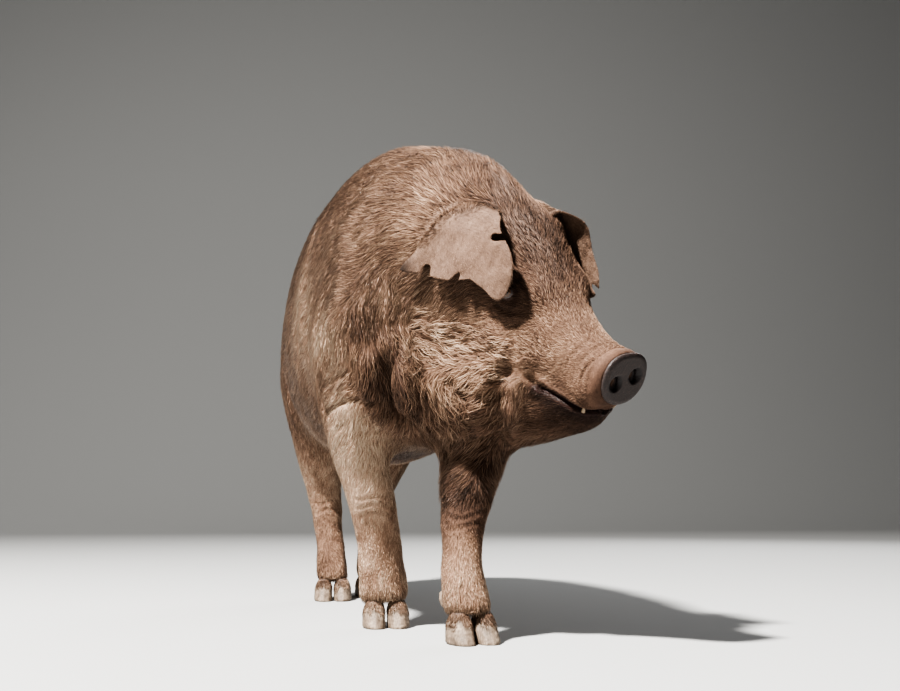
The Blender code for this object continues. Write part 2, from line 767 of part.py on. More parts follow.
# Each level of a claw: height as a share, how far the toe has sloped back, heel's shortening, width.
CLAW_LEVELS = (
    (0.00, 0.000, 0.002, 0.94),
    (0.10, 0.001, 0.000, 1.00),
    (0.55, 0.014, 0.001, 0.97),
    (1.00, 0.028, 0.004, 0.88),
)
CLAW_POINTS = 12
DEWCLAW_RADII = (0.009, 0.0085, 0.016)  # along, across and up
DEWCLAW_LEVEL = 0.082
DEWCLAW_SPREAD = 0.022


def claw(name, foot, toes, half_side):
    """One claw of a foot: straight on its inner side, rounded on its outer, pointed at the toe."""
    forward, up, left = axes(toes, 0.0)
    rings = []
    for share, toe_back, heel_in, width in CLAW_LEVELS:
        toe = CLAW_AHEAD + CLAW_LENGTH / 2 - toe_back
        heel = CLAW_AHEAD - CLAW_LENGTH / 2 + heel_in
        middle, reach = (toe + heel) / 2, (toe - heel) / 2
        points = []
        for k in range(CLAW_POINTS):
            turn = 2 * pi * k / CLAW_POINTS
            ahead = reach * signed_power(sin(turn), 0.9)
            across = CLAW_WIDTH / 2 * width
            bulge = signed_power(cos(turn), 0.75)
            point_in = 1 - 0.35 * max(0.0, ahead / reach) ** 2
            outward = across * (1 + bulge * point_in) if bulge > 0 else across * (1 + bulge)
            aside = (CLAW_GAP / 2 + outward) * half_side
            points.append(foot + forward * (middle + ahead) + left * aside + up * (CLAW_TOP * share))
        rings.append(points)
    return skinned(name, rings, levels=0, mat=HOOF_HORN)


def dewclaw(name, levels, toes, half_side):
    """One of the pair of small claws behind the pastern."""
    forward, up, left = axes(toes, -25.0)
    (x, y, _), _, deep = levels[-3]
    place = Vector((x, y, DEWCLAW_LEVEL)) - forward * (deep * 0.88) + left * DEWCLAW_SPREAD * half_side
    return ellipsoid(name, place, DEWCLAW_RADII, (forward, up, left), HOOF_HORN, segments=8)


# ---------------------------------------------------------------- parting and assembly
NECK_BASE = (Vector((0, -0.300, 0.900)), Vector((0, -0.460, 0.400)))  # line of the cut, from the side
HEAD_CUT = -0.050  # where head and neck part, ahead of the pivot
MOUTH_CORNER = (0.195, -0.087)  # ahead and height
MOUTH_FRONT = (0.340, -0.1015)  # past the front of the lips
MOUTH_GAPE = 0.0030  # opening at the front
JAW_REAR = (0.075, -0.290)  # where the cut from the mouth's corner leaves the throat


def mouth_cutter():
    """A thin wedge from the open lips to the mouth's corner, and on through the cheek."""
    thin = GAP * 0.7
    outline = (
        (MOUTH_CORNER[0] - thin, MOUTH_CORNER[1] + thin),
        (MOUTH_FRONT[0], MOUTH_FRONT[1] + MOUTH_GAPE / 2),
        (MOUTH_FRONT[0], MOUTH_FRONT[1] - MOUTH_GAPE / 2),
        (MOUTH_CORNER[0] + thin, MOUTH_CORNER[1] - thin),
        (JAW_REAR[0] + thin, JAW_REAR[1]),
        (JAW_REAR[0] - thin, JAW_REAR[1]),
    )
    reach = 0.25
    rings = [[in_head(*p, side * reach) for p in outline] for side in (RIGHT, LEFT)]
    return skinned("mouth_cutter", rings, levels=0)


def loose_pieces(source, names):
    """The separate bodies of source, largest first, as objects with these names."""
    bm = bmesh_of(source)
    bodies, seen = [], set()
    for seed in bm.faces:
        if seed in seen:
            continue
        seen.add(seed)
        body, front = [], [seed]
        while front:
            face = front.pop()
            body.append(face)
            for edge in face.edges:
                for other in edge.link_faces:
                    if other not in seen:
                        seen.add(other)
                        front.append(other)
        bodies.append(body)
    bodies.sort(key=lambda faces: -sum(f.calc_area() for f in faces))
    made = []
    for name, faces in zip(names, bodies):
        piece = bmesh.new()
        copies = {}
        for face in faces:
            for v in face.verts:
                if v not in copies:
                    copies[v] = piece.verts.new(v.co)
            piece.faces.new([copies[v] for v in face.verts])
        made.append(object_from(name, piece))
    bm.free()
    discard(source)
    return made


def build():
    """The pig's pieces, parted, seated in one another and stood on the origin."""
    flesh = whole_flesh()
    high, low = NECK_BASE
    base_normal = (high - low).cross(Vector((1, 0, 0))).normalized()
    if base_normal.y > 0:
        base_normal = -base_normal
    front, trunk = parted(flesh, low, base_normal, "front", "trunk")
    head, neck = parted(front, in_head(HEAD_CUT, 0), HEAD_FORWARD, "head", "neck")
    whole_head = head
    head = half(head, "head_only", in_head(MUZZLE_END, 0), -HEAD_FORWARD)
    discard(whole_head)

    for name, (levels, side, toes) in LIMBS.items():
        trunk, limb = limb_parted(trunk, name, levels, side)
        upper, lower = parted(
            limb, Vector((0, 0, KNEE_LEVEL)), Vector((0, 0, 1)), f"{name}_upper", f"{name}_lower"
        )
        (x, y, _), *_ = levels[-1]
        for inward, half_side in (("left", LEFT), ("right", RIGHT)):
            claw(f"{name}_claw_{inward}", Vector((x, y, 0)), toes, half_side)
            spur = dewclaw(f"{name}_dewclaw_{inward}", levels, toes, half_side)
            lower = seated(lower, spur)

    slit = mouth_cutter()
    head = boolean(head, slit, "DIFFERENCE")
    discard(slit)
    head, jaw = loose_pieces(head, ("head", "lower_jaw"))
    snout_disc()
    for name, side in (("left", LEFT), ("right", RIGHT)):
        tooth = tusk(f"tusk_{name}", side)
        jaw = seated(jaw, tooth)
        head = seated(head, tooth)
        head = seated(head, eye(f"eye_{name}", head, side))
    for name, outline, notches, side in (
        ("ear_left", EAR_LEFT_OUTLINE, EAR_LEFT_NOTCHES, LEFT),
        ("ear_right", EAR_RIGHT_OUTLINE, EAR_RIGHT_NOTCHES, RIGHT),
    ):
        flap = ear(name, outline, notches, side)
        head = seated(head, flap)
        neck = seated(neck, flap)
    seated(trunk, tail())


def stood():
    """Every piece carried by one empty that puts the middle of the pig's box over the origin."""
    corners = [v.co for o in COLLECTION.objects for v in o.data.vertices]
    shift = Vector(
        (
            -(min(c.x for c in corners) + max(c.x for c in corners)) / 2,
            -(min(c.y for c in corners) + max(c.y for c in corners)) / 2,
            0.0,
        )
    )
    stand = bpy.data.objects.new("pig_origin", None)
    stand.location = shift
    for o in list(COLLECTION.objects):
        o.parent = stand
    COLLECTION.objects.link(stand)


build()
stood()
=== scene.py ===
"""Looks of a life-size pig of a heavy, lop-eared, bristly red breed, standing in mid-step.

Lengths are in metres unless a comment says otherwise. The pig looks along -Y, its left side is +X.
"""

from math import cos, pi, radians, sin

import bmesh
import bpy
import numpy as np
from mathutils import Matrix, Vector
from mathutils.bvhtree import BVHTree
from mathutils.kdtree import KDTree


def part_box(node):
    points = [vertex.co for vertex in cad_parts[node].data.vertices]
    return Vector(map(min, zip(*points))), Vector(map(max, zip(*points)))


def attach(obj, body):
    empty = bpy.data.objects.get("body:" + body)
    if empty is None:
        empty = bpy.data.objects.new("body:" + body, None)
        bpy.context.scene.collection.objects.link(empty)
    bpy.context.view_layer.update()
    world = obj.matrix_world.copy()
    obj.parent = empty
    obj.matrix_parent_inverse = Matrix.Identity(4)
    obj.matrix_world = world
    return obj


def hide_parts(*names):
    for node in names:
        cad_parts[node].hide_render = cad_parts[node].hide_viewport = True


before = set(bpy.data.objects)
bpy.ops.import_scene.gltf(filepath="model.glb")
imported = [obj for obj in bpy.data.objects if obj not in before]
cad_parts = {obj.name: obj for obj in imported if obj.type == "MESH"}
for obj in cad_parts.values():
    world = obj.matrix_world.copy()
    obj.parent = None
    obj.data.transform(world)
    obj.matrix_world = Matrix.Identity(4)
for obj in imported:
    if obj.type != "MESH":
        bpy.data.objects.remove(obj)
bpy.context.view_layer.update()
LEFT, RIGHT = 1, -1  # sides of the pig, as the sign of X
SIDES = {"left": LEFT, "right": RIGHT}

# ------------------------------------------------------------------ bearings
# The animal is laid out from two sets of bearings: its trunk, level and square to the floor, and its
# head, which is turned to the left, nose down, with the right cheek a little lower.
HEAD_YAW, HEAD_PITCH, HEAD_ROLL = radians(33), radians(25), radians(11)
DISC_BACK = 0.2895  # from the head's pivot to the middle of the snout disc, along the head
DISC_HEIGHT = -0.0372  # the disc's middle above the pivot
DISC_HALF_HEIGHT, DISC_HALF_WIDTH = 0.0430, 0.0515


def turned_axes(yaw, pitch, roll):
    """Forward, up and left of something turned to its left, nose down and right side down."""
    forward = np.array((cos(pitch) * sin(yaw), -cos(pitch) * cos(yaw), -sin(pitch)))
    up = np.array((sin(pitch) * sin(yaw), -sin(pitch) * cos(yaw), cos(pitch)))
    left = np.array((cos(yaw), sin(yaw), 0.0))
    return np.array((forward, up * cos(roll) - left * sin(roll), left * cos(roll) + up * sin(roll)))


def middle_of(node):
    """The middle of a solid's box."""
    return np.array(sum(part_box(node), Vector()) / 2)


HEAD_AXES = turned_axes(HEAD_YAW, HEAD_PITCH, HEAD_ROLL)
BODY_AXES = np.array(((0.0, -1.0, 0.0), (0.0, 0.0, 1.0), (1.0, 0.0, 0.0)))
HEAD_PIVOT = middle_of("snout_disc") - np.array((DISC_BACK, DISC_HEIGHT, 0.0)) @ HEAD_AXES
TRUNK_LOW, TRUNK_HIGH = (np.array(corner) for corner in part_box("trunk"))


def in_trunk(shares):
    """Places given as shares of the trunk's box, right to left, head to tail, floor to back."""
    return TRUNK_LOW + (TRUNK_HIGH - TRUNK_LOW) * shares


def on_head(places):
    """Points given along, above and to the left of the head's pivot."""
    return HEAD_PIVOT + np.asarray(places, float) @ HEAD_AXES


def head_places(points):
    """The same the other way: how far along, above and to the left of the pivot points are."""
    return (points - HEAD_PIVOT) @ HEAD_AXES.T


# ------------------------------------------------------------------ the skin
# The hide of a pig is one thick, unbroken skin. Here it is one closed mesh from the lips to the
# coronets, a coat's depth inside the outline, finest round the eyes, mouth and snout.
FLESH = ["trunk", "neck", "head", "lower_jaw"]
LIMBS = ("foreleg_left", "foreleg_right", "hindleg_left", "hindleg_right")
for limb in LIMBS:
    FLESH += [f"{limb}_upper", f"{limb}_lower"]
SKIN_GRAIN = 0.0085  # of the first mesh; the head is made two and four times finer
CUT_WIDTH = 0.0010  # each length of flesh swells by this, which closes the thin cuts between them


def rise(values, start, end):
    """0 before start, 1 after end, and smooth between them."""
    share = np.clip((values - start) / (end - start), 0, 1)
    return share * share * (3 - 2 * share)


def ripple(points, size, seed):
    """Smooth unevenness of about -1 to 1 in lumps of a given size: waves that cross at random."""
    dice = np.random.default_rng(seed)
    ways = dice.normal(size=(14, 3))
    ways /= np.linalg.norm(ways, axis=1)[:, None]
    waves = ways.T * (2 * pi / (size * dice.uniform(0.7, 1.6, 14)))
    return np.sin(points @ waves + dice.uniform(0, 2 * pi, 14)).sum(1) / 2.65


def welded(node, swell=0.0):
    """A bmesh of a solid with its corners joined, pushed out by swell."""
    bm = bmesh.new()
    bm.from_mesh(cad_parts[node].data)
    bmesh.ops.remove_doubles(bm, verts=bm.verts, dist=1e-6)
    bm.normal_update()
    moved = [(v, v.co + v.normal * swell) for v in bm.verts]
    for v, place in moved:
        v.co = place
    return bm


def piece_from(name, bm):
    """A new shown piece made from a bmesh."""
    mesh = bpy.data.meshes.new(name)
    bm.to_mesh(mesh)
    bm.free()
    piece = bpy.data.objects.new(name, mesh)
    bpy.context.scene.collection.objects.link(piece)
    return piece


def settled(piece):
    """The piece with its modifiers worked into its mesh."""
    bpy.context.view_layer.update()
    evaluated = piece.evaluated_get(bpy.context.evaluated_depsgraph_get())
    mesh = bpy.data.meshes.new_from_object(evaluated)
    piece.modifiers.clear()
    old, piece.data = piece.data, mesh
    bpy.data.meshes.remove(old)
    return piece


def remeshed(piece, grain):
    step = piece.modifiers.new("even", "REMESH")
    step.mode = "VOXEL"
    step.voxel_size = grain
    return settled(piece)


def read(items, what, width, kind=np.float32):
    """What a mesh stores for each of its items, in rows of some width."""
    found = np.empty(len(items) * width, kind)
    items.foreach_get(what, found)
    return found.reshape(-1, width)


def places_of(piece):
    return read(piece.data.vertices, "co", 3).astype(float)


def put(piece, points):
    piece.data.vertices.foreach_set("co", np.asarray(points, np.float32).ravel())
    piece.data.update()


def normals_of(piece):
    return read(piece.data.vertices, "normal", 3).astype(float)


def edges_of(piece):
    return read(piece.data.edges, "vertices", 2, np.int32)


def shaded_round(mesh):
    mesh.polygons.foreach_set("use_smooth", np.ones(len(mesh.polygons), bool))
    mesh.update()


def placed(piece, material, slot, *nodes):
    """A finished piece, on the part's one body and in the place of its solids."""
    piece.data.materials.append(material)
    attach(piece, "root")
    if nodes:
        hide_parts(*nodes)


def averaged(values, edges):
    """Each row of values replaced by the mean of its neighbours along the edges."""
    first, second = edges.T
    count = np.bincount(first, minlength=len(values)) + np.bincount(second, minlength=len(values))
    mixed = np.empty_like(values)
    for column in range(values.shape[1]):
        into_first = np.bincount(first, values[second, column], len(values))
        into_second = np.bincount(second, values[first, column], len(values))
        mixed[:, column] = (into_first + into_second) / np.maximum(count, 1)
    return mixed


def relaxed(values, edges, share, rounds):
    for _ in range(rounds):
        values = values + (averaged(values, edges) - values) * share
    return values


def nearest_on(tree, points):
    """Nearest place on a surface, its normal and its face for each point."""
    found = [tree.find_nearest(p) for p in points.tolist()]
    return tuple(np.array([f[k] for f in found]) for k in range(3))


def tree_of(piece):
    mesh = piece.data
    return BVHTree.FromPolygons([v.co for v in mesh.vertices], [p.vertices for p in mesh.polygons])


joined = bmesh.new()
for node in (*FLESH, "snout_disc"):
    part = welded(node, CUT_WIDTH)
    swollen = bpy.data.meshes.new("swollen")
    part.to_mesh(swollen)
    part.free()
    joined.from_mesh(swollen)
    bpy.data.meshes.remove(swollen)
skin = remeshed(piece_from("skin", joined), SKIN_GRAIN)


def bulk(points):
    """1 on the broad trunk, 0 on the head and limbs, whose forms are too fine to be smoothed hard."""
    ahead, height, _ = head_places(points).T
    off_head = 1 - rise(ahead - 0.5 * np.maximum(0, -height), -0.13, -0.02)
    return off_head * rise(points[:, 2], 0.30, 0.42)


def coat_depth(points):
    """How far the skin lies under the outline of the coat."""
    ahead, height, aside = head_places(points).T
    on_face = rise(ahead, -0.08, 0.12)
    depth = 0.0042 - 0.0012 * on_face - 0.0014 * rise(ahead, 0.12, 0.20)
    depth += 0.0015 * rise(-height, 0.10, 0.18) * on_face * (1 - rise(ahead, 0.10, 0.20))
    on_leg = 1 - rise(points[:, 2], 0.15, 0.36)
    depth += (0.0020 - depth) * on_leg * (1 - rise(ahead, -0.02, 0.03))
    return depth * (1 - 0.8 * rise(ahead, 0.250, 0.275))


rough = places_of(skin)
outline = tree_of(skin)
edges = edges_of(skin)
broad = bulk(rough)[:, None]
points = relaxed(rough, edges, 0.10 + 0.50 * broad, 60)
points = relaxed(points, edges, 0.60 * broad, 160)
put(skin, points)
where, way, _ = nearest_on(outline, points)
sunk = ((where - points) * way).sum(1, keepdims=True)
sunk = relaxed(sunk, edges, 0.5, 10)
sunk = relaxed(sunk, edges, 0.6 * broad, 120)
points += normals_of(skin) * (sunk - coat_depth(points)[:, None] - CUT_WIDTH)
# the end of the muzzle stands back behind the snout disc, and closes tight round its edge
fore, high, aside = (head_places(points) - (DISC_BACK, DISC_HEIGHT, 0.0)).T
round_off = np.hypot(high / DISC_HALF_HEIGHT, aside / DISC_HALF_WIDTH)
cuff = -0.004 + 0.007 * rise(round_off, 0.80, 0.95)
over = np.maximum(0, fore - cuff) * (np.hypot(high / 0.055, aside / 0.065) < 1)
points -= over[:, None] * HEAD_AXES[0]
put(skin, points)


def made_finer(piece, wanted):
    """Halves the mesh where wanted says so and eases the new points."""
    near = wanted(places_of(piece))
    bm = bmesh.new()
    bm.from_mesh(piece.data)
    bm.verts.ensure_lookup_table()
    lines = [e for e in bm.edges if near[e.verts[0].index] and near[e.verts[1].index]]
    bmesh.ops.subdivide_edges(bm, edges=lines, cuts=1, use_grid_fill=True, smooth=0.6)
    bmesh.ops.triangulate(bm, faces=[f for f in bm.faces if len(f.verts) > 4])
    bm.to_mesh(piece.data)
    bm.free()
    moved = places_of(piece)
    put(piece, relaxed(moved, edges_of(piece), 0.5 * wanted(moved)[:, None], 3))


def head_part(points):
    ahead, height, _ = head_places(points).T
    return (ahead > 0.015 - 0.25 * np.minimum(0, height)) & (ahead < 0.4)


EYE_MIDDLES = {side: middle_of(f"eye_{name}") for name, side in SIDES.items()}
EYE_RADIUS = 0.0125


def face_part(points):
    """The mouth, the end of the muzzle and a patch round each eye."""
    ahead, height, _ = head_places(points).T
    near_eye = [np.linalg.norm(points - middle, axis=1) < 0.030 for middle in EYE_MIDDLES.values()]
    return head_part(points) & ((ahead > 0.175) | near_eye[0] | near_eye[1])


def folded_part(points):
    """Where the forelegs meet the chest and where the legs bend."""
    share = (points - TRUNK_LOW) / (TRUNK_HIGH - TRUNK_LOW)
    shoulders = (share[:, 1] < 0.22) & (share[:, 2] < 0.28) & (share[:, 0] < 0.5)
    return (shoulders | ((points[:, 2] < 0.245) & (points[:, 2] > 0.17))) & ~head_part(points)


for wanted in (head_part, face_part, folded_part):
    made_finer(skin, wanted)

# Creases and folds. Each is a run of places on one side of the head, with its width and depth, all in
# millimetres; the hide is pressed in along the run and swells beside it.
MOUTH = ((280, -103, 0), (276, -101, 18), (262, -99, 36), (238, -94, 51), (210, -89, 60),
         (188, -85, 67))
HEAD_FOLDS = (
    # the mouth's corner turns up into the cheek
    (((196, -84, 66), (178, -80, 76), (164, -68, 84)), 5.5, 5.0),
    # the hollow under the cheek and the crease over it
    (((50, -112, 134), (58, -128, 134), (76, -143, 130), (95, -152, 120)), 10.0, 8.5),
    (((50, -60, 114), (85, -73, 107), (112, -82, 100)), 4.8, 3.5),
    # wrinkles over and beside the muzzle, behind the disc
    (((272, 10, 0), (268, 0, 40), (258, -35, 60), (262, -70, 45)), 3.2, 2.2),
    (((252, 14, 0), (250, 2, 40), (243, -30, 62)), 3.2, 1.6),
    (((233, 12, 20), (229, -10, 55), (222, -50, 68)), 3.5, 1.3),
    # folds over and under the eye
    (((135, 50, 70), (108, 74, 88), (78, 70, 102)), 5.0, 2.6),
    (((138, 24, 80), (110, 18, 100), (80, 24, 112)), 4.5, 2.4),
    (((146, 8, 80), (112, -4, 104), (76, 2, 118)), 6.0, 1.8),
    # the brow's furrow, and the folds that cross the forehead
    (((135, 68, 10), (120, 88, 14), (100, 110, 16)), 7.0, 2.2),
    # cheek and jowl
    (((165, -110, 80), (120, -130, 115), (70, -120, 135)), 11.0, 4.5),
    (((140, -160, 75), (90, -185, 105), (40, -190, 120)), 12.0, 5.0),
    (((120, -40, 100), (80, -60, 125), (40, -50, 135)), 10.0, 2.5),
)


def smooth_run(places):
    """Points along an eased curve through a few places, eight to each span."""
    places = np.asarray(places, float)
    padded = np.vstack((2 * places[0] - places[1], places, 2 * places[-1] - places[-2]))
    share = np.linspace(0, 1, 8, endpoint=False)[:, None]
    run = []
    for a, b, c, d in zip(padded, padded[1:], padded[2:], padded[3:]):
        run.append(0.5 * (2 * b + (c - a) * share + (2 * a - 5 * b + 4 * c - d) * share**2
                          + (3 * b - a - 3 * c + d) * share**3))
    return np.vstack((*run, places[-1:]))


def off_run(points, run):
    """Distance of each point from a run of points, and how far along the run it lies, 0 to 1."""
    best = np.full(len(points), 1e9)
    along = np.zeros(len(points))
    for k, (start, end) in enumerate(zip(run, run[1:])):
        way = end - start
        share = np.clip((points - start) @ way / (way @ way), 0, 1)
        gap = np.linalg.norm(points - start - share[:, None] * way, axis=1)
        along = np.where(gap < best, (k + share) / (len(run) - 1), along)
        best = np.minimum(best, gap)
    return best, along


def fold(points, normals, run, width, depth, swell=0.45):
    """Points pressed in along a run, fading at its ends, and swollen on both sides of it."""
    gap, along = off_run(points, run)
    fade = rise(along, 0.0, 0.2) * (1 - rise(along, 0.8, 1.0))
    shape = swell * np.exp(-((gap - 1.9 * width) / width) ** 2) - np.exp(-((gap / width) ** 2))
    return points + normals * (shape * fade * depth)[:, None]


points, surface = places_of(skin), tree_of(skin)


def laid(run):
    """A run of points brought onto the skin."""
    return nearest_on(surface, np.asarray(run))[0]


def mirrored(places, side):
    return np.asarray(places) * (1, 1, side)


def head_run(places, side):
    """An eased run on one side of the head, through places in millimetres off its pivot."""
    return on_head(smooth_run(mirrored(np.array(places) / 1000, side)))


for run, width, depth in HEAD_FOLDS:
    for side in SIDES.values():
        points = fold(points, normals_of(skin), laid(head_run(run, side)), width / 1000, depth / 1000)

# Folds of the body, in hundredths of the trunk's box, with width and depth in millimetres.
BODY_FOLDS = (
    # over the top of the right foreleg, which bears the weight; these swell less, by the last number
    (((5, 19, 10), (9, 17, 13), (15, 12, 15), (20, 9, 14), (28, 5, 12)), 5.2, 8.0, 0.1),
    (((10, 18, 6), (15, 14, 9), (21, 12, 10), (26, 7, 11)), 4.0, 3.0, 0.2),
    (((5, 17, 19), (8, 14, 21), (12, 11, 22), (18, 7, 23)), 5.5, 2.6, 0.2),
    # the same, slacker, on the left
    (((96, 10, 18), (86, 4, 20), (74, 2, 18), (62, 3, 13)), 8.5, 7.0),
    (((93, 8, 11), (82, 3, 13), (68, 3, 9)), 7.5, 4.5),
    # between the jowl and the breast
    (((24, 2, 28), (25, 3, 22), (26, 4, 17), (29, 6, 12), (34, 6, 8), (42, 8, 4)), 19.0, 20.0),
    (((78, -2, 30), (76, 0, 22), (70, 2, 14), (60, 5, 7)), 16.0, 13.0),
    # behind the shoulder blades
    (((10, 30, 88), (0, 30, 60), (6, 28, 25)), 24.0, 6.0),
    (((90, 30, 88), (100, 30, 60), (94, 28, 25)), 24.0, 6.0),
    # in front of the hams, where the flank meets the stifle
    (((2, 72, 50), (2, 69, 30), (10, 66, 14)), 22.0, 9.0),
    (((98, 74, 50), (98, 71, 30), (90, 68, 14)), 22.0, 9.0),
)
for run, width, depth, *swell in BODY_FOLDS:
    run = laid(in_trunk(smooth_run(np.array(run) / 100)))
    points = fold(points, normals_of(skin), run, width / 1000, depth / 1000, *swell)

# The knees and hocks are ringed with fine wrinkles in front.
WRINKLES = {"foreleg_left": (0.205, 0.186), "foreleg_right": (0.232, 0.216, 0.200),
            "hindleg_left": (0.225, 0.205), "hindleg_right": (0.225, 0.205)}
WRINKLE_WIDTH, WRINKLE_DEPTH = 0.0036, 0.0014


def limb_middle(limb, height):
    """The middle of a limb at a height, and half its width."""
    found = np.vstack([[v.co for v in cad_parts[f"{limb}_{length}"].data.vertices]
                       for length in ("upper", "lower")])
    level = found[abs(found[:, 2] - height) < 0.03]
    return (level.min(0) + level.max(0)) / 2, (level.max(0) - level.min(0)) / 2


for limb, heights in WRINKLES.items():
    for k, height in enumerate(heights):
        middle, half = limb_middle(limb, height)
        swing = np.linspace(-1.2, 1.2, 13)[:, None]
        run = np.hstack((np.sin(swing) * half[0], -np.cos(swing) * half[1],
                         0.006 * np.sin(3 * swing + k))) + (middle[0], middle[1], height)
        points = fold(points, normals_of(skin), laid(run), WRINKLE_WIDTH, WRINKLE_DEPTH)

# Muscle and fat make the hide slightly uneven.
uneven = ripple(points, 0.16, 1) * 0.0016 + ripple(points, 0.05, 2) * 0.0006
calm = 1 - 0.6 * rise(head_places(points)[:, 0], 0.10, 0.2)
points += normals_of(skin) * (uneven * calm)[:, None]

# The mouth: lips meet in a soft line that opens a little in front.
MOUTH_DEPTH, MOUTH_WIDTH, LIP_SWELL = 0.0085, 0.0036, 0.0026
mouth_gap = np.full(len(points), 1.0)
mouth_runs = [laid(head_run(MOUTH, side)) for side in SIDES.values()]
for run in mouth_runs:
    gap, along = off_run(points, run)
    mouth_gap = np.minimum(mouth_gap, gap + 0.002 * along)
    depth = MOUTH_DEPTH * (1 - 0.45 * along) * np.exp(-((gap / MOUTH_WIDTH) ** 2))
    lips = LIP_SWELL * np.exp(-(((gap - 0.0085) / 0.0042) ** 2))
    points += normals_of(skin) * (lips - depth)[:, None]

# The lids: the hide rises over each eyeball and leaves an almond open on it.
LID_LENGTH, LID_HEIGHT = 0.0098, 0.0048  # half the opening's length and height
LID_THICKNESS = 0.0016
LID_TILT = radians(-14)  # the front corner sits lower
EYE_OUTWARD = (0.42, 0.30, 0.86)  # the way the left eye looks: ahead, up and aside


def eye_axes(side):
    """Outward, upward and forward of an eye."""
    out = mirrored(EYE_OUTWARD, side) @ HEAD_AXES
    out /= np.linalg.norm(out)
    ahead = HEAD_AXES[0] * cos(LID_TILT) + HEAD_AXES[1] * sin(LID_TILT)
    ahead -= out * (ahead @ out)
    ahead /= np.linalg.norm(ahead)
    up = np.cross(ahead, out) * side
    return out, up if up @ HEAD_AXES[1] > 0 else -up, ahead


lid_edge = np.full(len(points), 1.0)
for side, middle in EYE_MIDDLES.items():
    out, up, ahead = eye_axes(side)
    rel = points - middle
    off = np.linalg.norm(rel, axis=1)
    facing = rel @ out > 0
    sideways, upright = rel @ ahead, rel @ up
    opening = np.sqrt((sideways / LID_LENGTH) ** 2 + (upright / (LID_HEIGHT * 1.05)) ** 2)
    shell = EYE_RADIUS + LID_THICKNESS * (1 + 0.6 * rise(upright, 0.0, 0.008))
    reach = shell + 0.006 * rise(off, 0.016, 0.030)
    blend = (1 - rise(np.hypot(sideways, upright), 0.011, 0.024)) * facing
    raised = np.maximum(off, reach)
    inside = 1 - rise(opening, 0.86, 1.08)
    target = raised * (1 - inside) + (EYE_RADIUS - 0.004) * inside
    length = off + (target - off) * blend
    points = middle + rel * (length / np.maximum(off, 1e-6))[:, None]
    lid_edge = np.where(facing & (off < 0.03), np.minimum(lid_edge, abs(opening - 1)), lid_edge)

put(skin, points)
shaded_round(skin.data)

# ------------------------------------------------------------------ colour of hide and coat
# Red-brown bristle bleached to straw at the tips, over dull pinkish brown hide. One reckoning of
# light and dark serves hide and hair alike: paler shoulder, muzzle and shanks, painted shade in the
# hollows, and spots of painted light and shade.
# Many of these are painted light and shade rather than markings: painted shade on the forehead, chin
# and lower jaw, painted light on the cheeks and jowl.
HEAD_MARKS_AND_PAINTED_LIGHT = (  # millimetres along, above and left of the pivot; radius in them; change in hundredths
    ((60, 140, 0), 110, -30), ((130, 70, 20), 50, -10), ((200, 0, 0), 60, 8),
    ((240, -40, -50), 50, 8), ((160, -40, -80), 55, 10), ((90, -80, -110), 80, 16),
    ((20, -50, -130), 50, 12), ((20, -130, -150), 60, 22), ((160, -40, 80), 60, 12),
    ((60, -80, 120), 70, 10), ((60, -140, -130), 30, -16), ((100, 40, -90), 35, -16),
    ((100, 40, 90), 35, -16), ((250, -130, 0), 50, -30), ((220, -120, -50), 35, -24),
    ((220, -120, 50), 35, -24), ((-100, 160, -110), 50, 12), ((-80, 0, -170), 35, 12),
    ((-190, 0, -190), 50, -5),
)
# Many of these are painted light and shade rather than markings: painted shade on the top of the back,
# the belly and breast, the hind legs and the top of the left foreleg under the head; painted light on
# the right flank, the shoulder and the forelegs.
BODY_MARKS_AND_PAINTED_LIGHT = (  # the same, with the place in hundredths of the trunk's box
    ((6, 14, 34), 60, 38), ((16, 5, 33), 30, -10), ((17, 6, 27), 40, 12), ((14, 14, 13), 60, 42),
    ((15, 10, 26), 40, 16), ((32, 5, 18), 65, -30), ((45, 30, 0), 150, -50), ((38, 12, 6), 50, -22),
    ((17, 6, 60), 150, 14), ((19, 12, 10), 50, 12), ((50, 20, 100), 240, -16),
    ((39, -1, 73), 100, -10), ((0, 32, 42), 130, 34), ((0, 80, 45), 160, -5),
    ((50, 50, 0), 200, -5), ((80, -2, 12), 90, -10), ((24, 17, -13), 30, 14),
    ((25, 16, -2), 80, 26), ((53, -1, -30), 80, 36), ((56, 0, -10), 75, -34),
    ((17, 14, -2), 70, 32), ((27, 76, -30), 110, -34), ((73, 76, -30), 110, -30),
)
MARKS_AND_PAINTED_LIGHT = [(on_head(np.array(place) / 1000), radius, change) for place, radius, change in HEAD_MARKS_AND_PAINTED_LIGHT]
MARKS_AND_PAINTED_LIGHT += [(in_trunk(np.array(place) / 100), radius, change) for place, radius, change in BODY_MARKS_AND_PAINTED_LIGHT]


def under_lips(points):
    """1 below the line of the mouth, 0 above it."""
    ahead, height, _ = head_places(points).T
    line = head_places(mouth_runs[0])
    line = line[line[:, 0].argsort()]
    return rise(np.interp(ahead, line[:, 0], line[:, 1]) - height, -0.004, 0.003)


def tone(points):
    """How pale hide and hair are at each point, from 0, darkest, to 1, painted light and shade
    included.
    """
    shade = 0.45 + 0.025 * ripple(points, 0.20, 11) + 0.03 * ripple(points, 0.05, 12)
    for middle, radius, change in MARKS_AND_PAINTED_LIGHT:
        shade += change / 100 * np.exp(-(((points - middle) ** 2).sum(1)) / (radius / 1000) ** 2)
    under, ahead = under_lips(points), head_places(points)[:, 0]
    shade -= 0.16 * rise(ahead - DISC_BACK, -0.012, -0.002)
    off_lips = off_run(points, mouth_runs[1])[0]  # only the right lip darkens this far out
    # painted shade: below the mouth's line the lower lip and chin are darkened, partly dark skin and
    # partly shade under the upper lip
    shade -= (0.10 + 0.34 * under) * (1 - rise(off_lips, 0.004, 0.017))
    shade -= 0.30 * under * (1 - rise(off_lips, 0.010, 0.034))
    off_head = 1 - rise(ahead, -0.05, 0.05)
    shanks = (1 - rise(points[:, 2], 0.26, 0.44)) * off_head
    mottle = 0.05 * ripple(points, 0.03, 13)
    return np.clip(shade + shanks * (0.42 + mottle), 0.02, 0.98)


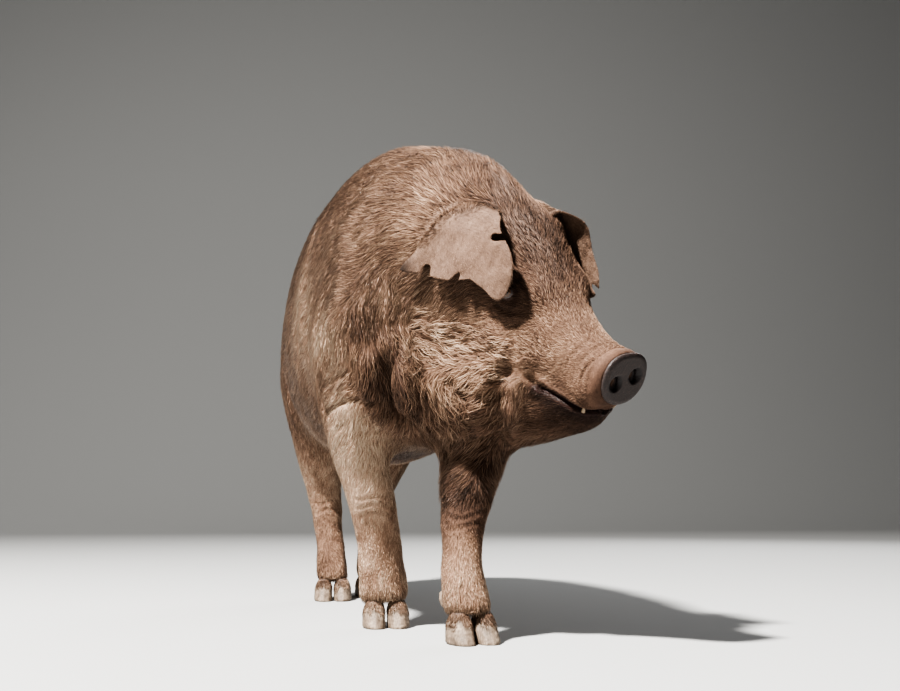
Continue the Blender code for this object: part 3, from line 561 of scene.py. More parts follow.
class Tint:
    """A socket of a material. Sums on it add Math nodes, and node() adds a node of any other kind."""

    def __init__(self, tree, socket=None):
        self.tree = tree
        self.socket = socket

    def node(self, kind, settings, sockets, output=0):
        made = self.tree.nodes.new("ShaderNode" + kind)
        for name, value in settings.items():
            if name == "stops":
                ramp = made.color_ramp.elements
                while len(ramp) < len(value):
                    ramp.new(0.5)
                for stop, (place, colour) in zip(ramp, value):
                    stop.position = place
                    stop.color = (*colour, 1.0)
            else:
                setattr(made, name, value)
        for name, value in sockets.items():
            if isinstance(value, Tint):
                self.tree.links.new(value.socket, made.inputs[name])
            else:
                made.inputs[name].default_value = value
        return Tint(self.tree, made.outputs[output])

    def reckoned(self, operation, first, second):
        return self.node("Math", {"operation": operation}, {0: first, 1: second})

    def __add__(self, other):
        return self.reckoned("ADD", self, other)

    def __radd__(self, other):
        return self.reckoned("ADD", other, self)

    def __sub__(self, other):
        return self.reckoned("SUBTRACT", self, other)

    def __rsub__(self, other):
        return self.reckoned("SUBTRACT", other, self)

    def __mul__(self, other):
        return self.reckoned("MULTIPLY", self, other)

    def __rmul__(self, other):
        return self.reckoned("MULTIPLY", other, self)


def finish(name, **constants):
    """A material, the start of its nodes, and its shader, with the values that never vary set."""
    made = bpy.data.materials.new(name)
    made.use_nodes = True
    shader = made.node_tree.nodes["Principled BSDF"]
    for socket, value in constants.items():
        shader.inputs[socket.replace("_", " ")].default_value = value
    return made, Tint(made.node_tree), shader


def joined_to(shader, **tints):
    """Links tints to the shader's sockets of those names."""
    for socket, tint in tints.items():
        tint.tree.links.new(tint.socket, shader.inputs[socket.replace("_", " ")])


def reading(start, name):
    """A number that put_value stored on the piece."""
    return start.node("Attribute", {"attribute_name": name}, {}, "Fac")


def ramped(start, stops, amount):
    return start.node("ValToRGB", {"stops": stops}, {"Fac": amount})


def blended(start, amount, first, second):
    """Two colours mixed by an amount."""
    return start.node("Mix", {"data_type": "RGBA"}, {0: amount, 6: first, 7: second}, 2)


def object_place(start):
    return start.node("TexCoord", {}, {}, "Object")


def speckle(start, place, scale, detail=3.0, roughness=0.6):
    """Fine unevenness of 0 to 1, scale lumps to the metre."""
    return start.node("TexNoise", {}, {"Vector": place, "Scale": scale, "Detail": detail,
                                       "Roughness": roughness})


def stretched(start, place, across):
    """Places squeezed along one way, so that what is drawn on them comes out as strokes."""
    return start.node("VectorMath", {"operation": "MULTIPLY"}, {0: place, 1: across})


def bump(start, height, strength, distance):
    return start.node("Bump", {}, {"Strength": strength, "Distance": distance, "Height": height})


# Bristle from shadowed dark brown to bleached straw, by tone.
BRISTLE_STOPS = (
    (0.00, (0.028, 0.016, 0.011)),
    (0.28, (0.088, 0.050, 0.033)),
    (0.52, (0.195, 0.118, 0.078)),
    (0.76, (0.370, 0.252, 0.175)),
    (1.00, (0.600, 0.470, 0.355)),
)
HIDE_STOPS = (
    (0.00, (0.026, 0.014, 0.010)),
    (0.35, (0.095, 0.055, 0.038)),
    (0.65, (0.225, 0.138, 0.094)),
    (1.00, (0.470, 0.340, 0.250)),
)


def put_value(piece, name, values):
    """A number for every point of a piece, which its material can read."""
    store = piece.data.attributes.new(name, "FLOAT", "POINT")
    store.data.foreach_set("value", np.asarray(values, np.float32))


# Wet, glossy lips; the near black in the mouth's slit and on the lower lip below it is painted shade.
wet = np.maximum(1 - rise(mouth_gap, 0.0040, 0.0105),
                 0.8 * under_lips(points) * (1 - rise(mouth_gap, 0.012, 0.030)))
put_value(skin, "tone", tone(points))
put_value(skin, "wet", wet)
put_value(skin, "lid", 1 - rise(lid_edge, 0.05, 0.45))

hide, start, shader = finish("bristled_hide", Specular_IOR_Level=0.12)
place = object_place(start)
pale = reading(start, "tone")
moist_and_shade = reading(start, "wet")
lid = reading(start, "lid")
down_strokes = speckle(start, stretched(start, place, (1.0, 1.0, 0.14)), 520.0, 4.0)
back_strokes = speckle(start, stretched(start, place, (1.0, 0.14, 1.0)), 520.0, 4.0)
strokes = (down_strokes + back_strokes) * 0.5
grain = speckle(start, place, 160.0)
shade = pale * 0.86 + (strokes - 0.5) * 0.55 + (grain - 0.5) * 0.22
colour = ramped(start, HIDE_STOPS, shade)
# painted shade: near black in the mouth's slit and under the upper lip, where the skin is also wet
colour = blended(start, moist_and_shade, colour, (0.022, 0.010, 0.009, 1.0))
colour = blended(start, lid * 0.8, colour, (0.030, 0.016, 0.012, 1.0))
joined_to(shader, Base_Color=colour, Roughness=0.78 - moist_and_shade * 0.55 - lid * 0.3,
          Normal=bump(start, strokes * 0.8 + grain * 0.4, 0.7, 0.0016))
placed(skin, hide, "coat", *FLESH)

# ------------------------------------------------------------------ lie of the coat
# A pig's bristles grow back from the snout, part over the brow, run along the back and fall down the
# flanks and legs, longer and wavy on cheek, jowl and throat, shortest on face and feet.
# Each line: place, the way it lies in hundredths, length, spacing and depth in millimetres, waviness.
HEAD_LIE = (  # millimetres along, above and left of the pivot, and the way in the same terms
    ((265, 5, 0), (-100, 25, 0), 5, 2.7, 1.0, 0.1),
    ((265, -40, 55), (-100, 0, 15), 5, 2.7, 1.0, 0.1),
    ((262, -80, 45), (-100, -25, 10), 6, 2.8, 1.0, 0.1),
    ((220, 15, 0), (-100, 25, 0), 7, 2.7, 1.3, 0.2),
    ((207, -16, 59), (-97, 0, 25), 7, 2.7, 1.3, 0.3),
    ((171, -11, 70), (-93, 12, 30), 8, 2.7, 1.5, 0.4),
    ((170, 35, 0), (-100, 40, 0), 9, 2.8, 1.5, 0.3),
    ((149, -34, 87), (-95, 5, 25), 10, 2.9, 1.8, 0.5),
    ((119, -44, 100), (-96, 0, 28), 13, 3.1, 2.2, 0.8),
    ((120, 85, 0), (-70, 70, 0), 12, 2.9, 1.8, 0.3),
    ((107, 99, 11), (-75, 65, 10), 13, 3.0, 2.0, 0.3),
    ((78, 126, 36), (-71, 63, 31), 15, 3.2, 2.4, 0.4),
    ((110, 70, 55), (-60, 60, 50), 11, 3.0, 1.8, 0.3),
    ((110, 10, 95), (-90, -15, 30), 11, 3.0, 1.8, 0.4),
    ((21, 169, 38), (-80, 56, 15), 20, 3.7, 3.0, 0.4),
    ((60, 120, 70), (-80, 50, 40), 15, 3.3, 2.4, 0.4),
    ((50, 40, 110), (-70, -60, 10), 15, 3.3, 2.6, 0.5),
    ((0, 190, 0), (-100, 10, 0), 26, 4.2, 3.8, 0.5),
    ((0, 160, 90), (-100, 0, 20), 24, 4.0, 3.4, 0.5),
    ((79, -49, 107), (-99, -3, 12), 16, 3.3, 2.6, 0.9),
    ((55, -40, 110), (-96, -23, 16), 18, 3.5, 2.8, 0.9),
    ((12, -44, 126), (-86, -37, 30), 20, 3.7, 3.0, 0.9),
    ((48, -76, 117), (-92, -29, 20), 24, 3.8, 3.4, 1.2),
    ((7, -72, 127), (-95, -8, 30), 26, 4.0, 3.6, 1.2),
    ((-4, -93, 135), (-89, -43, 16), 26, 4.0, 3.8, 1.2),
    ((79, -100, 118), (-85, -45, 20), 24, 3.8, 3.6, 1.3),
    ((117, -113, 104), (-60, -77, 20), 22, 3.7, 3.4, 1.3),
    ((150, -119, 89), (55, -75, -20), 17, 3.4, 3.0, 0.9),
    ((108, -151, 109), (-80, -55, 20), 26, 4.0, 4.2, 1.2),
    ((167, -149, 75), (-56, -83, 3), 18, 3.7, 3.4, 0.8),
    ((21, -137, 142), (60, -75, 0), 32, 4.2, 4.8, 1.1),
    ((60, -175, 120), (10, -95, 0), 34, 4.3, 5.4, 1.1),
    ((60, -230, 80), (-50, -80, -30), 36, 4.4, 6.0, 1.1),
    ((60, -250, 0), (-80, -60, 0), 36, 4.4, 6.0, 1.0),
    ((160, -180, 40), (-90, -35, 0), 20, 4.0, 3.4, 0.8),
    ((190, -130, 70), (-90, -35, 10), 12, 3.3, 2.2, 0.6),
    ((240, -140, 0), (-90, -40, 0), 10, 3.1, 1.8, 0.5),
    ((250, -115, 35), (-90, -40, 20), 8, 2.9, 1.5, 0.4),
)
BODY_LIE = (  # hundredths of the trunk's box, for the right side, and the way in X, Y and Z
    ((52, -2, 79), (-20, 90, 0), 30, 4.5, 4.4, 0.4),
    ((50, 20, 100), (0, 100, 0), 32, 4.9, 4.6, 0.4),
    ((50, 50, 100), (0, 100, -5), 30, 5.1, 4.6, 0.3),
    ((50, 80, 98), (0, 100, -20), 28, 5.1, 4.4, 0.3),
    ((50, 98, 80), (0, 30, -100), 24, 5.0, 4.0, 0.3),
    ((50, 100, 50), (0, 10, -100), 20, 5.0, 3.6, 0.3),
    ((41, -2, 70), (-27, 70, 60), 24, 4.4, 3.6, 0.4),
    ((38, -3, 63), (-61, 76, 20), 24, 4.4, 3.6, 0.4),
    ((33, 7, 83), (-50, 75, -40), 28, 4.6, 4.2, 0.4),
    ((31, 0, 54), (-66, 66, -35), 26, 4.4, 3.8, 0.4),
    ((21, 3, 63), (-75, 62, -20), 28, 4.5, 4.2, 0.5),
    ((20, 14, 82), (-30, 92, -20), 28, 4.6, 4.2, 0.4),
    ((14, 6, 56), (-39, 88, -25), 28, 4.5, 4.2, 0.6),
    ((13, 7, 49), (-40, 80, -45), 28, 4.5, 4.2, 0.6),
    ((9, 11, 46), (-21, 70, -70), 28, 4.5, 4.2, 0.5),
    ((21, 3, 44), (-42, 44, -79), 28, 4.5, 4.4, 0.5),
    ((29, 1, 43), (-32, 14, -94), 26, 4.4, 4.0, 0.5),
    ((6, 15, 36), (0, 10, -100), 28, 4.5, 4.2, 0.2),
    ((15, 6, 33), (-42, 45, -80), 26, 4.5, 4.4, 0.6),
    ((18, 4, 37), (10, 5, -100), 28, 4.5, 4.4, 0.7),
    ((24, 2, 29), (59, -10, -80), 30, 4.4, 4.8, 0.9),
    ((33, 1, 29), (37, 3, -93), 30, 4.4, 4.8, 0.9),
    ((15, 11, 19), (-35, 60, -70), 22, 4.0, 4.0, 0.5),
    ((18, 15, 5), (-39, 45, -80), 20, 4.0, 3.8, 0.5),
    ((35, 2, 16), (20, 20, -95), 34, 4.5, 5.6, 1.0),
    ((50, 6, 3), (0, 40, -90), 34, 4.6, 5.6, 1.0),
    ((16, 36, 86), (-10, 95, -20), 30, 5.0, 4.4, 0.3),
    ((3, 38, 62), (0, 75, -66), 28, 5.0, 4.4, 0.4),
    ((3, 38, 25), (20, 85, -50), 26, 5.1, 4.2, 0.5),
    ((12, 60, 88), (-20, 90, -45), 28, 5.2, 4.4, 0.3),
    ((0, 60, 55), (0, 85, -55), 26, 5.2, 4.2, 0.4),
    ((5, 58, 22), (20, 90, -35), 24, 5.2, 4.0, 0.5),
    ((10, 85, 80), (-10, 70, -75), 26, 5.2, 4.2, 0.3),
    ((2, 85, 50), (0, 50, -90), 24, 5.2, 4.0, 0.4),
    ((6, 82, 20), (0, 35, -100), 20, 5.0, 3.4, 0.4),
    ((50, 30, 0), (0, 100, 0), 22, 5.8, 3.6, 0.5),
    ((50, 60, 0), (0, 100, 0), 20, 5.8, 3.6, 0.5),
)
LIMB_LIE = (  # hundredths of the box of a limb's upper or lower length, for every limb
    ("upper", (10, 45, 40), (0, 30, -100), 18, 4.6, 3.2, 0.4),
    ("upper", (90, 45, 40), (0, 30, -100), 18, 4.6, 3.2, 0.4),
    ("upper", (50, 80, 30), (0, 60, -80), 20, 4.4, 3.8, 0.5),
    ("upper", (40, 30, 12), (-20, 25, -100), 12, 4.0, 2.2, 0.3),
    ("upper", (40, 50, 2), (0, 25, -100), 11, 3.8, 2.0, 0.3),
    ("lower", (50, 10, 70), (0, -10, -100), 9, 3.6, 1.6, 0.2),
    ("lower", (0, 45, 70), (0, 30, -100), 9, 3.6, 1.6, 0.2),
    ("lower", (100, 45, 70), (0, 30, -100), 9, 3.6, 1.6, 0.2),
    ("lower", (50, 100, 65), (0, 65, -80), 16, 3.6, 3.0, 0.4),
    ("lower", (50, 0, 12), (0, -40, -90), 10, 3.2, 1.6, 0.3),
    ("lower", (0, 40, 12), (-20, -10, -100), 10, 3.2, 1.6, 0.3),
    ("lower", (100, 40, 12), (20, -10, -100), 10, 3.2, 1.6, 0.3),
    ("lower", (50, 0, 0), (0, -70, -80), 20, 2.1, 1.2, 0.3),
    ("lower", (0, 30, 0), (-40, -10, -100), 20, 2.1, 1.2, 0.3),
    ("lower", (100, 30, 0), (40, -10, -100), 20, 2.1, 1.2, 0.3),
    ("lower", (50, 50, 0), (0, -30, -100), 16, 2.6, 1.0, 0.3),
    ("lower", (50, 100, 15), (0, 40, -90), 14, 3.2, 3.0, 0.4),
)


def lie_of_the_coat():
    """Every known place of the coat with its way and measures, both sides written out."""
    rows = []
    for place, way, *measures in HEAD_LIE:
        place, way = np.array(place) / 1000, np.array(way) / 100
        for side in {1.0} if place[2] == 0 else SIDES.values():
            way_here = mirrored(way, side) @ HEAD_AXES
            rows.append((*on_head(mirrored(place, side)), *way_here, *measures))
    for (x, y, z), way, *measures in BODY_LIE:
        for side in {1.0} if x == 50 else SIDES.values():
            share = (0.5 + (x / 100 - 0.5) * -side, y / 100, z / 100)
            rows.append((*in_trunk(share), *(np.array(way) / 100 * (-side, 1, 1)), *measures))
    for limb in LIMBS:
        for length, share, way, *measures in LIMB_LIE:
            low, high = (np.array(corner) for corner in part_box(f"{limb}_{length}"))
            place = low + (high - low) * (np.array(share) / 100)
            rows.append((*place, *(np.array(way) / 100), *measures))
    return np.array(rows)


LIE = lie_of_the_coat()
LIE[:, 3:6] /= np.linalg.norm(LIE[:, 3:6], axis=1)[:, None]
LIE[:, 6:9] /= 1000
LIE_REACH = 0.022  # nearer than this to a known place, only that place counts


def coat_at(points):
    """Way, length, spacing, depth and waviness of the coat at each point, from the places round it."""
    near = ((points[:, None, :] - LIE[None, :, :3]) ** 2).sum(2)
    weight = 1 / (near + LIE_REACH**2) ** 2.5
    return (weight @ LIE[:, 3:]) / weight.sum(1, keepdims=True)


def along_surface(ways, normals):
    ways = ways - normals * (ways * normals).sum(1, keepdims=True)
    return ways / np.maximum(np.linalg.norm(ways, axis=1, keepdims=True), 1e-6)


SWIRL = radians(13)  # how far the lie wanders from lock to lock


def swirled(ways, normals, points, wave):
    """Ways turned a little left or right in the surface, in patches a few fingers wide."""
    turn = SWIRL * (0.35 + wave) * (ripple(points, 0.075, 21) + 0.6 * ripple(points, 0.030, 22))
    across = np.cross(normals, ways)
    return ways * np.cos(turn)[:, None] + across * np.sin(turn)[:, None]


def triangles_of(piece):
    piece.data.calc_loop_triangles()
    return read(piece.data.loop_triangles, "vertices", 3, np.int32)


def sown(points, triangles, spacing, dice):
    """Roots spread evenly over a surface, closer where spacing is smaller: faces and their shares."""
    a, b, c = (points[triangles[:, k]] for k in range(3))
    area = np.linalg.norm(np.cross(b - a, c - a), axis=1) / 2
    wanted = np.cumsum(area / spacing[triangles].mean(1) ** 2)
    marks = np.arange(int(wanted[-1])) + dice.random(int(wanted[-1]))
    face = np.minimum(np.searchsorted(wanted, marks), len(triangles) - 1)
    first, second = dice.random((2, len(face)))
    over = first + second > 1
    first[over], second[over] = 1 - first[over], 1 - second[over]
    return face, np.stack((1 - first - second, first, second), 1)


def mixed(values, corners, shares):
    """Values of a mesh's points worked out at places inside its triangles."""
    return (values[corners] * shares[:, :, None]).sum(1)


LOCK_SIZE = 5  # tufts that lean together
TUFT_ASPECT = 0.026  # half width of a tuft for its length
TUFT_LEAST, TUFT_MOST = 0.00030, 0.00064  # the bounds of its half width
# Stations of a tuft from root to tip. Each: share of its length, lift as a share of the coat's depth,
# width, lean to the lock and sway.
WAVY = ((0.00, -0.10, 0.80, 0.00, 0.0), (0.35, 0.60, 1.00, 0.15, 1.0),
        (0.70, 0.95, 0.70, 0.40, -1.0), (1.00, 1.05, 0.00, 0.65, 0.8))
STRAIGHT = ((0.00, -0.12, 1.00, 0.00, 0.0), (1.00, 1.00, 0.00, 0.25, 0.3))


def tufts(points, normals, triangles, coat, bare, loose, seed, shape=STRAIGHT):
    """Tufts of bristle over a surface, except where it is bare.

    Loose tufts, 1, keep straight on where the surface turns away. Returns their roots, the middle,
    facing and half width of their stations, the way across them, a number of luck for each tuft and
    for its lock, and the nearest point of the surface.
    """
    dice = np.random.default_rng(seed)
    spacing = np.where(bare, 1.0, coat[:, 4])
    face, shares = sown(points, triangles, spacing, dice)
    corners = triangles[face]
    keep = ~bare[corners].any(1)
    face, corners, shares = face[keep], corners[keep], shares[keep]
    root = mixed(points, corners, shares)
    up = mixed(normals, corners, shares)
    measures = mixed(coat, corners, shares)
    length = measures[:, 3] * dice.uniform(0.72, 1.2, len(root)) * (1.35 if shape is WAVY else 1.0)
    depth, wave = measures[:, 5], measures[:, 6]
    way = along_surface(measures[:, :3], up)

    # locks: roots near each other share a leader, whose line their tips lean to
    leaders = np.arange(0, len(root), LOCK_SIZE)
    finder = KDTree(len(leaders))
    for k, leader in enumerate(leaders):
        finder.insert(root[leader], k)
    finder.balance()
    lock = np.array([finder.find(p)[1] for p in root.tolist()])
    lock_luck = dice.normal(size=(len(leaders), 3))
    way = along_surface(swirled(way, up, root[leaders][lock], wave), up)
    across = np.cross(up, way)
    stray = radians(6) * dice.normal(size=len(root)) + radians(5) * lock_luck[lock, 0]
    way = way * np.cos(stray)[:, None] + across * np.sin(stray)[:, None]

    surface = BVHTree.FromPolygons(points.tolist(), triangles.tolist())
    stations = [(root, up)]
    place, heading, walked = root, way, 0.0
    hanging = mixed(loose[:, None], corners, shares)
    for share, *_ in shape[1:]:
        ahead = place + heading * (length * (share - walked))[:, None]
        where, facing, on = nearest_on(surface, ahead)
        where += (ahead - where) * hanging
        facing_up = normals[triangles[on]].mean(1)
        flow = along_surface(coat[triangles[on]].mean(1)[:, :3], facing_up)
        heading = along_surface(heading * 0.75 + flow * 0.25, facing_up)
        place, walked = where, share
        stations.append((place, facing_up))
    lean = root[leaders][lock] - root
    lean -= way * (lean * way).sum(1, keepdims=True)
    side = np.cross(up, way)
    curl = (np.sin(lock_luck[lock, 1] * 3 + 40 * root[:, 2]) * wave * length * 0.07)[:, None]
    loft = np.clip(1 + 0.28 * lock_luck[lock, 2] + 0.18 * dice.normal(size=len(root)), 0.3, 1.9)
    half = np.clip(length * TUFT_ASPECT, TUFT_LEAST, TUFT_MOST * (0.8 if shape is WAVY else 1))
    half = half * dice.uniform(0.75, 1.25, len(root))
    rings = []
    for (centre, facing), (_, lift, width, gather, sway) in zip(stations, shape):
        centre = centre + facing * (depth * loft * lift)[:, None] + lean * gather + side * curl * sway
        rings.append((centre, facing, half * width))
    return root, rings, side, dice.random(len(root)), lock_luck[lock, 2], corners[:, 0]


def blades(rings, side):
    """Points of closed three-sided blades: rings of three and a tip."""
    parts = []
    for centre, facing, half in rings[:-1]:
        half = half[:, None]
        parts += [centre - side * half, centre + side * half, centre + facing * half * 0.9]
    parts.append(rings[-1][0])
    return np.stack(parts, 1)


def blade_faces(count, levels):
    """Triangles of closed blades with that many rings of three points and a tip."""
    faces = [(0, 1, 2)]
    for low in range(0, 3 * (levels - 1), 3):
        for k in range(3):
            n = (k + 1) % 3
            faces += [(low + k, low + 3 + k, low + 3 + n), (low + k, low + 3 + n, low + n)]
    top = 3 * (levels - 1)
    faces += [(top + k, top + 3, top + (k + 1) % 3) for k in range(3)]
    one = np.array(faces)[:, ::-1]
    steps = (np.arange(count) * (3 * levels + 1))[:, None, None]
    return (one[None] + steps).reshape(-1, 3)


bristle, start, shader = finish("red_bristle", Specular_IOR_Level=0.25)
pale = reading(start, "tone")
tip = reading(start, "tip")
luck = reading(start, "luck")
lock = reading(start, "lock")
shade = pale - 0.20 + tip * 0.34 + (luck - 0.5) * 0.55 + lock * 0.04
colour = ramped(start, BRISTLE_STOPS, shade)
joined_to(shader, Base_Color=colour, Roughness=0.62 - luck * 0.15)

PATCH = 0.003  # side of a tuft's patch on the coat's map


def round_axis(points, origin, axes):
    """A surface unrolled round an axis: turn about it and way along it, each as 0 to 1."""
    forward, up, left = ((points - origin) @ axes.T).T
    turn = np.arctan2(left, up) / (2 * pi) + 0.5
    reach = (forward - forward.min()) / np.ptp(forward)
    return np.stack((0.01 + 0.97 * turn, 0.01 + 0.97 * reach), 1)


def coat_piece(name, grown, origin, axes, chosen=slice(None), paler=0.0):
    """A piece of coat from the chosen tufts, with a patch of the map at each tuft's root."""
    root, rings, side, luck, lock_luck, _ = grown
    rings = [(centre[chosen], facing[chosen], half[chosen]) for centre, facing, half in rings]
    solid = blades(rings, side[chosen])
    count, each = solid.shape[:2]
    levels = len(rings) - 1
    faces = blade_faces(count, levels)
    mesh = bpy.data.meshes.new(name)
    mesh.vertices.add(count * each)
    mesh.vertices.foreach_set("co", solid.astype(np.float32).ravel())
    mesh.loops.add(faces.size)
    mesh.loops.foreach_set("vertex_index", faces.astype(np.int32).ravel())
    mesh.polygons.add(len(faces))
    mesh.polygons.foreach_set("loop_start", np.arange(0, faces.size, 3, dtype=np.int32))
    mesh.update(calc_edges=True)
    shaded_round(mesh)
    height = np.tile(np.append(np.repeat(np.linspace(0, 1, levels + 1)[:-1], 3), 1.0), count)
    across = np.tile(np.append(np.tile((0.0, 1.0, 0.5), levels), 0.5), count)
    spread = np.stack((across, height), 1) * PATCH
    patch = np.repeat(round_axis(root[chosen], origin, axes), each, axis=0) + spread
    store = mesh.uv_layers.new(name="OFBake")
    store.data.foreach_set("uv", patch[faces.ravel()].astype(np.float32).ravel())
    piece = bpy.data.objects.new(name, mesh)
    bpy.context.scene.collection.objects.link(piece)
    put_value(piece, "tip", height)
    put_value(piece, "luck", np.repeat(luck[chosen], each))
    put_value(piece, "lock", np.repeat(lock_luck[chosen], each))
    put_value(piece, "tone", np.repeat(tone(root[chosen]) + paler, each))
    placed(piece, bristle, "coat")


# ------------------------------------------------------------------ the coat on the skin
# Tufts of coarse bristle set in the hide, overlapping like thatch. They are parcelled by region,
# each parcel mapped on its own unrolling of the hide: round the trunk, the head or a leg.
points, normals, triangles = places_of(skin), normals_of(skin), triangles_of(skin)
coat = np.vstack([coat_at(block) for block in np.array_split(points, 20)])
ahead, height, aside = head_places(points).T
# No bristle grows round the disc, on the lips, under the coronets and on the eyes.
bare = (ahead > 0.274) & (height < 0.02) & (height > -0.092)
bare |= (mouth_gap < 0.0035) | (points[:, 2] < 0.040)
for side, middle in EYE_MIDDLES.items():
    out, up, forward = eye_axes(side)
    rel = points - middle
    almond = np.hypot(rel @ forward / (LID_LENGTH + 0.003), rel @ up / (LID_HEIGHT + 0.003))
    bare |= (almond < 1) & (np.linalg.norm(rel, axis=1) < 0.03)
# Cheek, jowl and throat have long wavy hair.
wavy = (height < -0.020 - 0.35 * np.maximum(0, 0.02 - ahead)) & (ahead > -0.09) & (ahead < 0.142)
wavy &= (height < -0.10) | (abs(aside) > 0.07)
wavy |= (height < -0.10) & (ahead > -0.14) & (ahead < 0.135)
wavy &= points[:, 2] > 0.35
coat[:, 4] *= np.where(wavy, 1.0, np.where(points[:, 2] < 0.30, 0.72, 0.66))
UPRIGHT_AXES = np.array(((0.0, 0.0, 1.0), (0.0, 1.0, 0.0), (1.0, 0.0, 0.0)))


def parcels(roots):
    """Regions of the coat: name, which roots it takes, and the axis that it is unrolled round."""
    ahead, height, aside = head_places(roots).T
    head = (ahead > -0.03) & (roots[:, 2] > 0.27)
    legs = (roots[:, 2] < 0.30) & ~head
    trunk = ~head & ~legs
    right = roots[:, 0] < (TRUNK_LOW[0] + TRUNK_HIGH[0]) / 2
    span = TRUNK_LOW[1] + (TRUNK_HIGH[1] - TRUNK_LOW[1]) * np.array((0.28, 0.62))
    third = np.searchsorted(span, roots[:, 1])
    middle = (TRUNK_LOW + TRUNK_HIGH) / 2
    for side, here in (("left", ~right), ("right", right)):
        for k, region in enumerate(("shoulder", "flank", "ham")):
            yield f"coat_{region}_{side}", trunk & here & (third == k), middle, BODY_AXES
    throat = head & (height < -0.10)
    for side, here in (("left", aside >= 0), ("right", aside < 0)):
        yield f"coat_face_{side}", head & here & ~throat & (ahead > 0.085), HEAD_PIVOT, HEAD_AXES
        yield f"coat_cheek_{side}", head & here & ~throat & (ahead <= 0.085), HEAD_PIVOT, HEAD_AXES
    yield "coat_throat", throat, HEAD_PIVOT, HEAD_AXES
    fore = roots[:, 1] < 0
    for limb in LIMBS:
        here = legs & (fore if "fore" in limb else ~fore)
        pair = [limb_middle(f"{limb.split('_')[0]}_{side}", 0.12)[0] for side in SIDES]
        split = sum(middle[0] for middle in pair) / 2
        here &= (roots[:, 0] > split) if "left" in limb else (roots[:, 0] <= split)
        yield f"coat_{limb}", here, limb_middle(limb, 0.16)[0], UPRIGHT_AXES


# The coat hangs over the claws, and stands off the edge of the jowl in wisps.
JOWL_EDGE = ((-40, -110, 175), (-27, -143, 172), (9, -174, 140), (76, -182, 122))
loose = 1 - rise(points[:, 2], 0.060, 0.085)
for side in SIDES.values():
    gap, _ = off_run(points, laid(head_run(JOWL_EDGE, side)))
    loose = np.maximum(loose, 0.7 * (1 - rise(gap, 0.010, 0.035)))
FEWEST = 20  # a parcel with fewer tufts isn't made
for kind, skip, shape in (("hair", ~wavy, WAVY), ("bristle", wavy, STRAIGHT)):
    grown = tufts(points, normals, triangles, coat, bare | skip, loose, 31, shape)
    for name, here, origin, axes in parcels(grown[0]):
        if here.sum() >= FEWEST:
            coat_piece(f"{name}_{kind}", grown, origin, axes, here)

# ------------------------------------------------------------------ ears
# The ears are thin flaps of gristle in velvety skin, thick at the root, that fold over and hang
# beside the face. Both carry old notches clipped from the edge.
EAR_GRAIN = 0.0022


def refined(node, name, grain, rounds):
    """A faceted solid made smooth at a finer grain, in rounds that ease it and swell it back."""
    piece = remeshed(piece_from(name, welded(node)), grain)
    edges = edges_of(piece)
    moved = places_of(piece)
    for _ in range(rounds):
        for share in (0.5, -0.52):
            moved = relaxed(moved, edges, share, 1)
    put(piece, moved)
    shaded_round(piece.data)
    return piece


EAR_STOPS = (
    (0.20, (0.070, 0.044, 0.032)),
    (0.50, (0.140, 0.090, 0.065)),
    (0.80, (0.225, 0.156, 0.116)),
)
velvet, start, shader = finish("ear_velvet", Specular_IOR_Level=0.12)
place = object_place(start)
mottle = speckle(start, place, 45.0, 4.0)
down = speckle(start, place, 900.0, 2.0)
veins = speckle(start, place, 110.0, 2.0, 0.4)
corner = reading(start, "corner")
colour = ramped(start, EAR_STOPS, mottle * 0.55 + down * 0.40 + 0.02)
# painted shade: the ear darkens to near black at its hindmost corner and along its rim
colour = blended(start, corner, colour, (0.014, 0.009, 0.007, 1.0))
joined_to(shader, Base_Color=colour, Roughness=0.62 + mottle * 0.2,
          Normal=bump(start, down * 0.5 + veins, 0.35, 0.0012))

EAR_ROOT = ((-66, 95, 136), (-54, 121, 125), (-43, 141, 108), (-22, 155, 94), (2, 156, 58))
for side, sign in SIDES.items():
    ear = refined(f"ear_{side}", f"ear_flap_{side}", EAR_GRAIN, 20)
    points, edges = places_of(ear), edges_of(ear)
    across = np.linalg.svd(points - points.mean(0), full_matrices=False)[2][2]
    for _ in range(60):  # creases are smoothed across the flap, which leaves its edge as it is
        points += across * ((averaged(points, edges) - points) @ across * 0.5)[:, None]
    put(ear, points)
    normals = normals_of(ear)
    uneven = 0.0006 * ripple(points, 0.05, 41) + 0.00025 * ripple(points, 0.014, 42)
    points += normals * uneven[:, None]
    put(ear, points)
    # painted shade: the flap and its hair are darkened at the hindmost corner and along the rim
    hindmost = points[head_places(points)[:, 0].argmin()]
    corner = 0.95 * np.exp(-((np.linalg.norm(points - hindmost, axis=1) / 0.024) ** 2))
    rim = 1 - rise(abs(normals @ across), 0.50, 0.95)
    put_value(ear, "corner", np.maximum(corner, 0.5 * rim))
    placed(ear, velvet, "ear_skin", f"ear_{side}")
    # short down all over it, and hair that spreads from its root over the neck
    run = nearest_on(tree_of(ear), head_run(EAR_ROOT, sign))[0]
    at_root = 1 - rise(off_run(points, run)[0], 0.006, 0.020)
    astray = np.maximum(at_root, rim)
    onward = points - run.mean(0)
    outward = points - points.mean(0)
    ways = [way / np.linalg.norm(way, axis=1, keepdims=True) for way in (onward, outward)]
    ways = ways[0] * (1 - astray[:, None]) + ways[1] * astray[:, None]
    coat = np.column_stack((ways, 0.0030 + 0.011 * at_root + 0.0035 * rim, 0.0019 - 0.0005 * astray,
                            0.0003 + 0.0012 * at_root, np.full(len(points), 0.2)))
    grown = tufts(points, normals, triangles_of(ear), coat, np.zeros(len(points), bool), astray, 61)
    # the hair takes the flap's painted shade at the corner
    paler = (0.14 - 0.16 * at_root - 0.6 * corner)[grown[5]]
    coat_piece(f"coat_ear_{side}", grown, points.mean(0), HEAD_AXES, paler=paler)

